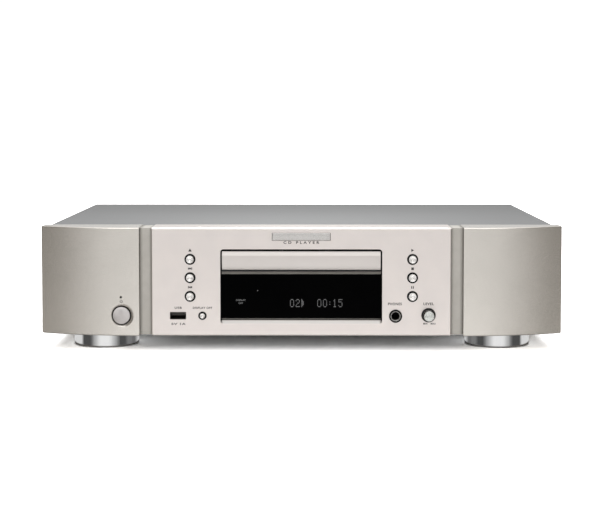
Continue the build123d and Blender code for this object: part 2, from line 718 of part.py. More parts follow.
def transformer_coil():
    coil = block(CORE_X - 21.8, CORE_X + 21.8, CORE_Y - 26, CORE_Y + 26, 28.8, 61.4)
    coil = fillet(coil.edges().filter_by(Axis.Z), 6)
    return coil - block(CORE_X - 11.1, CORE_X + 11.1, CORE_Y - 15.1, CORE_Y + 15.1, 28, 62)


def main_circuit_board():
    return block(-95, 208, 62, 152, MAIN_BOARD_Z, MAIN_BOARD_Z + 1.6)


def capacitors():
    top = MAIN_BOARD_Z + 1.6
    made = [rod_z(-70 + 24 * i, 136, 9, top, top + 32) for i in range(3)]
    made += [rod_z(70 + 16 * i, 100, 5, top, top + 20) for i in range(8)]
    return made


def heat_sink():
    top = MAIN_BOARD_Z + 1.6
    sink = block(-80, -20, 92, 95, top, top + 40)
    for i in range(9):
        x = -80 + i * 7.25
        sink += block(x, x + 2, 95, 112, top, top + 40)
    return sink


def ribbon_cables():
    """Two flat cables from the front board under the loader to the main board."""
    made = []
    low = 19.0
    thick = 0.8
    board_back = BOARD_Y + BOARD_THICK
    for x in (-20.0, 24.0):
        cable = block(x, x + 18, board_back, board_back + thick, low, 34)
        cable += block(x, x + 18, board_back, 61.6, low, low + thick)
        cable += block(x, x + 18, 60.8, 61.6, low, MAIN_BOARD_Z + 6)
        made.append(cable)
    return made


# ---- loader -------------------------------------------------------------------------
def loader_frame():
    """Moulded trough with rails for the tray, a post for its gear and bores for the deck."""
    outer = LOADER_INNER + LOADER_WALL
    frame = block(-outer, outer, LOADER_FRONT, LOADER_REAR, LOADER_FLOOR, LOADER_FLOOR + 2.5)
    for side in (-1, 1):
        frame += block(
            *sorted((side * LOADER_INNER, side * outer)), LOADER_FRONT, LOADER_REAR, LOADER_FLOOR, LOADER_TOP
        )
        ledge = sorted((side * 61.4, side * LOADER_INNER))
        frame += block(*ledge, LOADER_FRONT, LOADER_REAR, TRAY_SKIRT_BOTTOM - 2.3, TRAY_SKIRT_BOTTOM - 0.3)
        lip = sorted((side * 60.0, side * LOADER_INNER))
        frame += block(*lip, LOADER_FRONT, LOADER_REAR, TRAY_RIM + 0.5, TRAY_RIM + 2.5)
        for y in (LOADER_FRONT + 8, LOADER_REAR - 8):
            frame += rod_z(side * 58, y, 5, PAN_TOP, LOADER_FLOOR)
        frame -= rod_x(*DECK_HINGE, HINGE_PIN_R + RUNNING, *sorted((side * 63, side * 69)))
    frame += rod_z(PINION_X, PINION_Y, 5, LOADER_FLOOR + 2, WHEEL_BOTTOM - 0.2)
    frame += rod_z(PINION_X, PINION_Y, 2.5, WHEEL_BOTTOM - 0.3, TRAY_FLOOR_BOTTOM - 0.6)
    return frame


def clamp_bridge():
    outer = LOADER_INNER + LOADER_WALL
    bridge = block(-outer, outer, DISC_Y - 22, DISC_Y + 22, LOADER_TOP, LOADER_TOP + 3)
    for side in (-1, 1):
        bridge += block(-outer, outer, *sorted((DISC_Y + side * 20.4, DISC_Y + side * 22)),
                        LOADER_TOP + 3, LOADER_TOP + 5)
    return bridge - rod_z(0, DISC_Y, 15.5, LOADER_TOP - 1, LOADER_TOP + 4)


def clamper():
    disc = rod_z(0, DISC_Y, 13.5, TRAY_RIM + 0.7, LOADER_TOP + 3.4)
    disc += rod_z(0, DISC_Y, 18, LOADER_TOP + 3.4, LOADER_TOP + 5)
    disc += rod_z(0, DISC_Y, 10, LOADER_TOP + 5, LOADER_TOP + 7.6)
    return disc - rod_z(0, DISC_Y, 8.2, TRAY_RIM, LOADER_TOP)


def loading_motor():
    motor = rod_z(PINION_X, LOADING_MOTOR_Y, 12, LOADER_FLOOR + 2.5, WHEEL_BOTTOM - 1.5)
    return motor - rod_z(PINION_X, LOADING_MOTOR_Y, 1.0 + RUNNING, WHEEL_BOTTOM - 8, WHEEL_BOTTOM)


def grooved_wheel(x, y, radius):
    """A pulley whose groove holds the belt at the given radius."""
    wheel = rod_z(x, y, radius + 1.0, WHEEL_BOTTOM, WHEEL_TOP)
    middle = (WHEEL_BOTTOM + WHEEL_TOP) / 2
    groove = rod_z(x, y, radius + 2, middle - 1, middle + 1) - rod_z(x, y, radius - 0.8, middle - 2, middle + 2)
    return wheel - groove


def motor_pulley():
    pulley = grooved_wheel(PINION_X, LOADING_MOTOR_Y, PULLEY_R)
    return pulley + rod_z(PINION_X, LOADING_MOTOR_Y, 1.0, WHEEL_BOTTOM - 7, WHEEL_BOTTOM)


def tray_gear():
    """Belt wheel and tray pinion in one moulding."""
    gear = grooved_wheel(PINION_X, PINION_Y, WHEEL_R)
    gear += rod_z(PINION_X, PINION_Y, 6, WHEEL_TOP, TRAY_SKIRT_BOTTOM + 0.2)
    teeth = Pos(PINION_X, PINION_Y) * gear_face(PINION_TEETH, TRAY_MODULE, 180)
    gear += prism_z(teeth, TRAY_SKIRT_BOTTOM + 0.2, TRAY_FLOOR_BOTTOM - 0.5)
    return gear - rod_z(PINION_X, PINION_Y, 2.5 + RUNNING, WHEEL_BOTTOM - 1, TRAY_FLOOR_BOTTOM)


def belt_face(wheel_r, pulley_r):
    """The area inside an open belt round the wheel and the pulley."""
    distance = LOADING_MOTOR_Y - PINION_Y
    tilt = math.asin((wheel_r - pulley_r) / distance)
    c, s = math.cos(tilt), math.sin(tilt)
    a = (wheel_r * c, wheel_r * s)
    b = (pulley_r * c, distance + pulley_r * s)
    outline = ThreePointArc((-a[0], a[1]), (0, -wheel_r), a)
    outline += Line(a, b)
    outline += ThreePointArc(b, (0, distance + pulley_r), (-b[0], b[1]))
    outline += Line((-b[0], b[1]), (-a[0], a[1]))
    return Pos(PINION_X, PINION_Y) * make_face(outline)


def drive_belt():
    middle = (WHEEL_BOTTOM + WHEEL_TOP) / 2
    inner_wheel = WHEEL_R - 0.7
    inner_pulley = PULLEY_R - 0.7
    outside = belt_face(inner_wheel + BELT_WIDTH, inner_pulley + BELT_WIDTH)
    inside = belt_face(inner_wheel, inner_pulley)
    return prism_z(outside, middle - 0.6, middle + 0.6) - prism_z(inside, middle - 1, middle + 1)


def disc_tray():
    """Tray with seats for both disc sizes and a slot that is open to the rear."""
    tray = block(-TRAY_HALF, TRAY_HALF, TRAY_FRONT, TRAY_REAR, TRAY_FLOOR_BOTTOM, TRAY_RIM)
    tray -= rod_z(0, DISC_Y, DISC_SEAT_R, DISC_SEAT, TRAY_RIM + 1)
    tray -= rod_z(0, DISC_Y, SMALL_DISC_SEAT_R, SMALL_DISC_SEAT, TRAY_RIM + 1)
    for side in (-1, 1):
        pocket = sorted((side * 24, side * 55))
        tray -= block(*pocket, DISC_Y + 66, TRAY_REAR - 3, TRAY_FLOOR_BOTTOM - 1, TRAY_RIM - 2)
        skirt = sorted((side * 61, side * TRAY_HALF))
        tray += block(*skirt, TRAY_FRONT, TRAY_REAR, TRAY_SKIRT_BOTTOM, TRAY_FLOOR_BOTTOM)
    tray -= rod_z(0, DISC_Y, SLOT_HALF, TRAY_FLOOR_BOTTOM - 1, TRAY_RIM + 1)
    tray -= block(-SLOT_HALF, SLOT_HALF, DISC_Y, TRAY_REAR + 1, TRAY_FLOOR_BOTTOM - 1, TRAY_RIM + 1)
    rack = rack_face(PINION_X - PINION_R, PINION_Y, TRAY_FRONT + 12, TRAY_REAR, TRAY_MODULE, -61, addendum=0.8)
    return tray + prism_z(rack, TRAY_SKIRT_BOTTOM, TRAY_FLOOR_BOTTOM)


def tray_door():
    """Metal front of the tray, with a broad bevel along its top and a lip along its bottom."""
    front = PANEL_Y + 0.1
    back = front + DOOR_THICK
    profile = [
        (back, DOOR_BOTTOM),
        (front + 1.2, DOOR_BOTTOM),
        (front, DOOR_BOTTOM + 1.9),
        (front, DOOR_TOP - 3.4),
        (front + 1.5, DOOR_TOP),
        (back, DOOR_TOP),
    ]
    return prism_x(profile, -DOOR_HALF, DOOR_HALF)


def traverse_deck():
    """The plate that carries spindle and pickup, hinged at its rear edge."""
    bottom = DECK_TOP - DECK_THICK
    deck = block(DECK_LEFT, DECK_RIGHT, DECK_FRONT, DECK_REAR, bottom, DECK_TOP)
    deck -= block(-SLED_HALF - 0.8, SLED_HALF + 0.8, -80.0, -4.0, bottom - 1, DECK_TOP + 1)
    deck -= rod_z(0, DISC_Y, 6, bottom - 1, DECK_TOP + 1)
    for x in (DECK_LEFT, DECK_RIGHT - 1.6):
        deck += block(x, x + 1.6, DECK_FRONT, DECK_REAR, 58.5, bottom)
        deck += block(x, x + 1.6, DECK_REAR, DECK_HINGE[0] + 4, 58.5, DECK_TOP)
    for side in (-1, 1):
        lug = sorted((side * 21.0, side * 26.6))
        deck += block(*lug, -84.0, -80.0, 57.4, bottom)
        deck += block(*lug, -4.0, 0.0, 57.4, bottom)
        deck -= rod_y(side * ROD_X, ROD_Z, ROD_R, -82.0, -2.0)
    deck += rod_x(*DECK_HINGE, HINGE_PIN_R, -LOADER_INNER - LOADER_WALL, DECK_LEFT)
    deck += rod_x(*DECK_HINGE, HINGE_PIN_R, DECK_RIGHT, LOADER_INNER + LOADER_WALL)
    return deck


def guide_rods():
    return [rod_y(side * ROD_X, ROD_Z, ROD_R, -82.0, -2.0) for side in (-1, 1)]


def deck_motors():
    """Spindle motor, and the flat motor that drives the pickup."""
    bottom = DECK_TOP - DECK_THICK
    spindle = rod_z(0, DISC_Y, 12, 50, bottom) - rod_z(0, DISC_Y, 1.0 + RUNNING, 55, bottom + 1)
    flat = rod_z(SLED_GEAR_X + 0.5, SLED_GEAR_Y, 6.6, 58, bottom)
    return [spindle, flat - rod_z(SLED_GEAR_X, SLED_GEAR_Y, 1.0 + RUNNING, 57, 63)]


def turntable():
    table = rod_z(0, DISC_Y, 16, 78, 81.3) + rod_z(0, DISC_Y, 5, 70, 78)
    table += Pos(0, DISC_Y, 82.8) * Cone(7.4, 6.4, 3.0)
    return table + rod_z(0, DISC_Y, 1.0, 56, 70)


def pickup_sled():
    """Laser block on its two rods, with the rack that drives it."""
    sled = block(-SLED_HALF, SLED_HALF, SLED_FRONT, SLED_REAR, SLED_BOTTOM, SLED_TOP)
    sled += block(-9, 9, LENS_Y - 6.5, LENS_Y + 8, SLED_TOP, 78.3)
    sled -= rod_z(0, LENS_Y, 4.2, 75.5, 79)
    for side in (-1, 1):
        sled -= rod_y(side * ROD_X, ROD_Z, ROD_R + RUNNING, SLED_FRONT - 1, SLED_REAR + 1)
    rack = rack_face(SLED_RACK_X, SLED_GEAR_Y, -83, -39, SLED_MODULE, SLED_HALF - 0.5)
    return sled + prism_z(rack, SLED_BOTTOM, SLED_BOTTOM + 3.4)


def sled_gear():
    teeth = Pos(SLED_GEAR_X, SLED_GEAR_Y) * gear_face(SLED_TEETH, SLED_MODULE, 180, backlash=0.1)
    return prism_z(teeth, SLED_BOTTOM, SLED_BOTTOM + 3.4) + rod_z(SLED_GEAR_X, SLED_GEAR_Y, 1.0, 56, 62)


def pickup_lens():
    lens = rod_z(0, LENS_Y, 3.4, 76.8, 79.0)
    dome = Pos(0, LENS_Y, 74.6) * Sphere(5.0)
    return lens + (dome & rod_z(0, LENS_Y, 2.4, 78.5, 80))


# ---- writing ------------------------------------------------------------------------
os.makedirs("parts", exist_ok=True)

for maker in (
    centre_panel, left_cheek, right_cheek, front_subframe, display_bezel, display_window, display_module,
    front_circuit_board, tact_switches, button_rings, power_button, power_switch, power_led, usb_socket,
    phones_jack, phones_ring, level_control, level_shaft, level_knob, badge_plate, feet, foot_pads,
    foot_screws, base_pan, top_cover, case_screws, rear_panel, phono_jacks, jack_blocks, optical_socket,
    mains_inlet, transformer_core, transformer_coil, main_circuit_board, capacitors, heat_sink,
    ribbon_cables, loader_frame, clamp_bridge, clamper, loading_motor, motor_pulley, tray_gear, drive_belt,
    disc_tray, tray_door, traverse_deck, guide_rods, deck_motors, turntable, pickup_sled, sled_gear,
    pickup_lens,
):
    save(maker.__name__, maker())

for name, (x, z) in BUTTONS.items():
    save(name, push_button(x, z, BUTTON_R, 2.2, 3.6, 2.4))
save("display_button", push_button(*DISPLAY_BUTTON, DISPLAY_BUTTON_R, 1.8, 3.0, 1.6))
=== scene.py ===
import json
import math

import bmesh
import bpy
from mathutils import Matrix, Vector

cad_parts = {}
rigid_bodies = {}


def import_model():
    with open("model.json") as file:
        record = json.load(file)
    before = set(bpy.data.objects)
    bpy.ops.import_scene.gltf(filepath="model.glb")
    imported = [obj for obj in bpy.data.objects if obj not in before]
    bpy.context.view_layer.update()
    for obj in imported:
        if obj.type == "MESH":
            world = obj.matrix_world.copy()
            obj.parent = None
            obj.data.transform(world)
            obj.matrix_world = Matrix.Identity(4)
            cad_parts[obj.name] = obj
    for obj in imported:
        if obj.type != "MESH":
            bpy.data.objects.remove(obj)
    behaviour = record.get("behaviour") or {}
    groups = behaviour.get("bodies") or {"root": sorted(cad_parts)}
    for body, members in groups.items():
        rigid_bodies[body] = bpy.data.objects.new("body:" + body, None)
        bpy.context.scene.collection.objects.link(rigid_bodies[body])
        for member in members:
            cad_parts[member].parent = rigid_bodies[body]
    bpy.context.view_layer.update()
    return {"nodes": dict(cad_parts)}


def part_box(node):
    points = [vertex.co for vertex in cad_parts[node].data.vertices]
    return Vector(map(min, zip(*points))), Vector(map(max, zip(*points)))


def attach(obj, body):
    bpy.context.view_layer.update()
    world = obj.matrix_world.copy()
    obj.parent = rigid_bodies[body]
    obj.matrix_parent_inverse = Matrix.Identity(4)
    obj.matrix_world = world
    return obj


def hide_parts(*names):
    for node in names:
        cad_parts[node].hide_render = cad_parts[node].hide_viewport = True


# The start-up file's own objects aren't part of the model.
for leftover in list(bpy.data.objects):
    bpy.data.objects.remove(leftover)

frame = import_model()

MM = 0.001
INK = 0.02 * MM  # how far printing stands off its surface
FOOT_RADIUS = 27.75 * MM


# ---- camera -------------------------------------------------------------------------
def make_camera():
    """A long lens a metre and a half in front, a little above the player and tipped down."""
    data = bpy.data.cameras.new("camera")
    data.sensor_width = 36.0
    data.lens = 93.585
    data.shift_y = -0.12
    data.clip_end = 50.0
    camera = bpy.data.objects.new("camera", data)
    camera.location = (0.0081, -1.4569, 0.2050)
    camera.rotation_euler = (math.radians(90.0 - 3.199), 0.0, math.radians(0.404))
    bpy.context.scene.collection.objects.link(camera)
    bpy.context.scene.camera = camera


# ---- materials ----------------------------------------------------------------------
class NodeTree:
    """The node tree of a material or a world."""

    def __init__(self, owner):
        owner.use_nodes = True
        self.tree = owner.node_tree

    def node(self, kind, **settings):
        made = self.tree.nodes.new(kind)
        for name, value in settings.items():
            setattr(made, name, value)
        return made

    def link(self, start, end):
        self.tree.links.new(start, end)

    def maths(self, operation, *values):
        """Result of a Math node; each value is a number or another node's output."""
        made = self.node("ShaderNodeMath", operation=operation)
        for socket, value in zip(made.inputs, values):
            if isinstance(value, (int, float)):
                socket.default_value = value
            else:
                self.link(value, socket)
        return made.outputs["Value"]

    def along(self, vector):
        """X, Y and Z of a vector output."""
        parts = self.node("ShaderNodeSeparateXYZ")
        self.link(vector, parts.inputs["Vector"])
        return parts.outputs["X"], parts.outputs["Y"], parts.outputs["Z"]

    def between(self, value, low, high, start=0.3, stop=0.7):
        """value from start..stop to low..high."""
        ranged = self.node("ShaderNodeMapRange")
        numbers = {"From Min": start, "From Max": stop, "To Min": low, "To Max": high}
        for name, number in numbers.items():
            ranged.inputs[name].default_value = number
        self.link(value, ranged.inputs["Value"])
        return ranged.outputs["Result"]

    def for_camera(self, seen, otherwise, output):
        """One shader for what the camera sees straight on, and the other for all other light."""
        path = self.node("ShaderNodeLightPath")
        mix = self.node("ShaderNodeMixShader")
        self.link(path.outputs["Is Camera Ray"], mix.inputs["Fac"])
        self.link(otherwise, mix.inputs[1])
        self.link(seen, mix.inputs[2])
        self.link(mix.outputs["Shader"], output.inputs["Surface"])


class Surface(NodeTree):
    """A Principled material with its node tree at hand."""

    def __init__(self, name, metallic=0.0, **sockets):
        self.name = name
        self.material = bpy.data.materials.new(name)
        super().__init__(self.material)
        self.shader = self.tree.nodes["Principled BSDF"]
        self.shader.inputs["Metallic"].default_value = metallic
        for socket, value in sockets.items():
            self.shader.inputs[socket.replace("_", " ")].default_value = value
        self.coords = self.tree.nodes.new("ShaderNodeTexCoord")

    def mapped(self, stretch=(1.0, 1.0, 1.0)):
        mapping = self.node("ShaderNodeMapping")
        mapping.inputs["Scale"].default_value = stretch
        self.link(self.coords.outputs["Object"], mapping.inputs["Vector"])
        return mapping.outputs["Vector"]

    def noise(self, scale, stretch=(1.0, 1.0, 1.0), detail=3.0):
        noise = self.node("ShaderNodeTexNoise")
        noise.inputs["Scale"].default_value = scale
        noise.inputs["Detail"].default_value = detail
        self.link(self.mapped(stretch), noise.inputs["Vector"])
        return noise.outputs["Fac"]

    def wave(self, scale, direction):
        wave = self.node("ShaderNodeTexWave", bands_direction=direction)
        wave.inputs["Scale"].default_value = scale
        wave.inputs["Distortion"].default_value = 0.4
        self.link(self.mapped(), wave.inputs["Vector"])
        return wave.outputs["Fac"]

    def cells(self, scale):
        cells = self.node("ShaderNodeTexVoronoi")
        cells.inputs["Scale"].default_value = scale
        self.link(self.mapped(), cells.inputs["Vector"])
        return cells.outputs["Distance"]

    def blend(self, factor, first, second):
        """Colour from first to second, each a colour or another node's output."""
        mix = self.node("ShaderNodeMix", data_type="RGBA")
        self.link(factor, mix.inputs["Factor"])
        for name, colour in (("A", first), ("B", second)):
            socket = [s for s in mix.inputs if s.name == name and s.type == "RGBA"][0]
            if isinstance(colour, tuple):
                socket.default_value = (*colour, 1.0)
            else:
                self.link(colour, socket)
        return [s for s in mix.outputs if s.type == "RGBA"][0]

    def colour(self, output):
        self.link(output, self.shader.inputs["Base Color"])

    def colour_so_far(self):
        return self.shader.inputs["Base Color"].links[0].from_socket

    def rough(self, value, low, high):
        self.link(self.between(value, low, high), self.shader.inputs["Roughness"])

    def relief(self, value, depth):
        bump = self.node("ShaderNodeBump")
        bump.inputs["Distance"].default_value = depth
        self.link(value, bump.inputs["Height"])
        self.link(bump.outputs["Normal"], self.shader.inputs["Normal"])


def grained(
    name, dark, light, scale, rough, grain, depth, stretch=(1.0, 1.0, 1.0), metallic=0.0, **sockets
):
    """The common finish: cloudy colour, uneven gloss and a fine grain."""
    made = Surface(name, metallic, **sockets)
    cloud = made.noise(scale, stretch)
    made.colour(made.blend(made.between(cloud, 0.0, 1.0), dark, light))
    fine = made.noise(grain, stretch, 2.0)
    made.rough(fine, *rough)
    made.relief(fine, depth)
    return made


def panel_finish():
    """Satin champagne metal, with painted shade: the mouth's sides and top are blackened as shade,
    and its lower lip is painted darker as shade.
    """
    made = grained(
        "panel_metal", (0.735, 0.684, 0.657), (0.765, 0.710, 0.679), 60.0,
        (0.34, 0.41), 5200.0, 0.010 * MM, metallic=0.94,
    )
    metal = made.colour_so_far()
    panel_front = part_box("centre_panel")[0].y
    window_low, window_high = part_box("display_window")
    x, y, z = made.along(made.coords.outputs["Object"])
    # Painted shade: the mouth's sides and top, behind the face and above the lip, are blackened
    # where the recess is in shade.
    between_sides = made.maths("LESS_THAN", made.maths("ABSOLUTE", x), window_high.x + 1.4 * MM)
    behind_face = made.maths("GREATER_THAN", y, panel_front + 0.15 * MM)
    inside = made.maths("MULTIPLY", between_sides, behind_face)
    above_lip = made.maths("GREATER_THAN", z, window_low.z - 0.2 * MM)
    below_top = made.maths("LESS_THAN", z, window_high.z + 26.0 * MM)
    black = made.maths("MULTIPLY", inside, made.maths("MULTIPLY", above_lip, below_top))
    # Painted shade: the mouth's lower lip is made darker metal, standing in for how dim it reads.
    lip = made.maths("MULTIPLY", inside, made.maths("SUBTRACT", 1.0, above_lip))
    shaded = made.blend(lip, metal, (0.60, 0.57, 0.55))
    made.colour(made.blend(black, shaded, (0.014, 0.013, 0.012)))
    return made


def rib_finish():
    """Moulded grey plastic, with painted shade in the corners beside the panel and the cheeks."""
    made = grained(
        "subframe_plastic", (0.44, 0.42, 0.385), (0.48, 0.46, 0.425), 120.0,
        (0.42, 0.52), 3600.0, 0.02 * MM, metallic=0.3,
    )
    plain = made.colour_so_far()
    across = made.maths("ABSOLUTE", made.along(made.coords.outputs["Object"])[0])
    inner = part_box("centre_panel")[1].x
    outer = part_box("right_cheek")[0].x
    # Painted shade: darker within a few millimetres of the panel and of the cheek, where the groove
    # is in shade.
    from_panel = made.between(across, 0.0, 1.0, inner, inner + 2.6 * MM)
    from_cheek = made.between(across, 1.0, 0.0, outer - 3.0 * MM, outer)
    clear_of_painted_shade = made.maths("MULTIPLY", from_panel, from_cheek)
    made.colour(made.blend(clear_of_painted_shade, (0.22, 0.21, 0.19), plain))
    return made


def turned(name, dark, light, rough, rings, depth, rim=None):
    """Metal turned on a lathe: rings round the piece's own axis, which runs front to back.

    depth is how deep the rings are. From rim outwards, as a share of the radius, the metal is
    darkened as painted shade.
    """
    made = Surface(name, 1.0, Anisotropic=0.75)
    tangent = made.node("ShaderNodeTangent", direction_type="RADIAL", axis="Y")
    made.link(tangent.outputs["Tangent"], made.shader.inputs["Tangent"])
    cloud = made.noise(900.0)
    bare = made.blend(made.between(cloud, 0.0, 1.0), dark, light)
    made.colour(bare)
    centred = made.node("ShaderNodeMapping")
    centred.inputs["Location"].default_value = (-0.5, 0.0, -0.5)
    made.link(made.coords.outputs["Generated"], centred.inputs["Vector"])
    flat = made.node("ShaderNodeVectorMath", operation="MULTIPLY")
    flat.inputs[1].default_value = (1.0, 0.0, 1.0)
    made.link(centred.outputs["Vector"], flat.inputs[0])
    length = made.node("ShaderNodeVectorMath", operation="LENGTH")
    made.link(flat.outputs["Vector"], length.inputs[0])
    from_axis = length.outputs["Value"]
    # Painted shade: from rim outwards the metal is darkened, standing in for the shade on the
    # piece's edge and side.
    if rim:
        edge = made.between(from_axis, 0.0, 1.0, 0.5 * rim, 0.5 * rim + 0.01)
        made.colour(made.blend(edge, bare, (0.07, 0.07, 0.068)))
    made.rough(cloud, *rough)
    made.relief(made.maths("SINE", made.maths("MULTIPLY", from_axis, rings * 4.0 * math.pi)), depth)
    return made


def circuit_board(name, dark, light):
    """Solder mask over copper tracks, with small pads."""
    made = Surface(name, 0.0)
    brick = made.node("ShaderNodeTexBrick", offset=0.37, squash=1.0)
    brick.inputs["Scale"].default_value = 240.0
    brick.inputs["Mortar Size"].default_value = 0.06
    made.link(made.mapped(), brick.inputs["Vector"])
    tracks = made.blend(brick.outputs["Fac"], dark, light)
    pads = made.between(made.cells(260.0), 1.0, 0.0, 0.08, 0.12)
    made.colour(made.blend(pads, tracks, (0.55, 0.53, 0.48)))
    made.rough(made.noise(500.0), 0.35, 0.5)
    made.relief(brick.outputs["Fac"], 0.03 * MM)
    return made


def striped(name, dark, light, scale, direction, rough, depth, metallic=0.0):
    made = Surface(name, metallic)
    stripes = made.wave(scale, direction)
    made.colour(made.blend(made.between(stripes, 0.0, 1.0, 0.1, 0.9), dark, light))
    made.rough(made.noise(700.0), *rough)
    made.relief(stripes, depth)
    return made


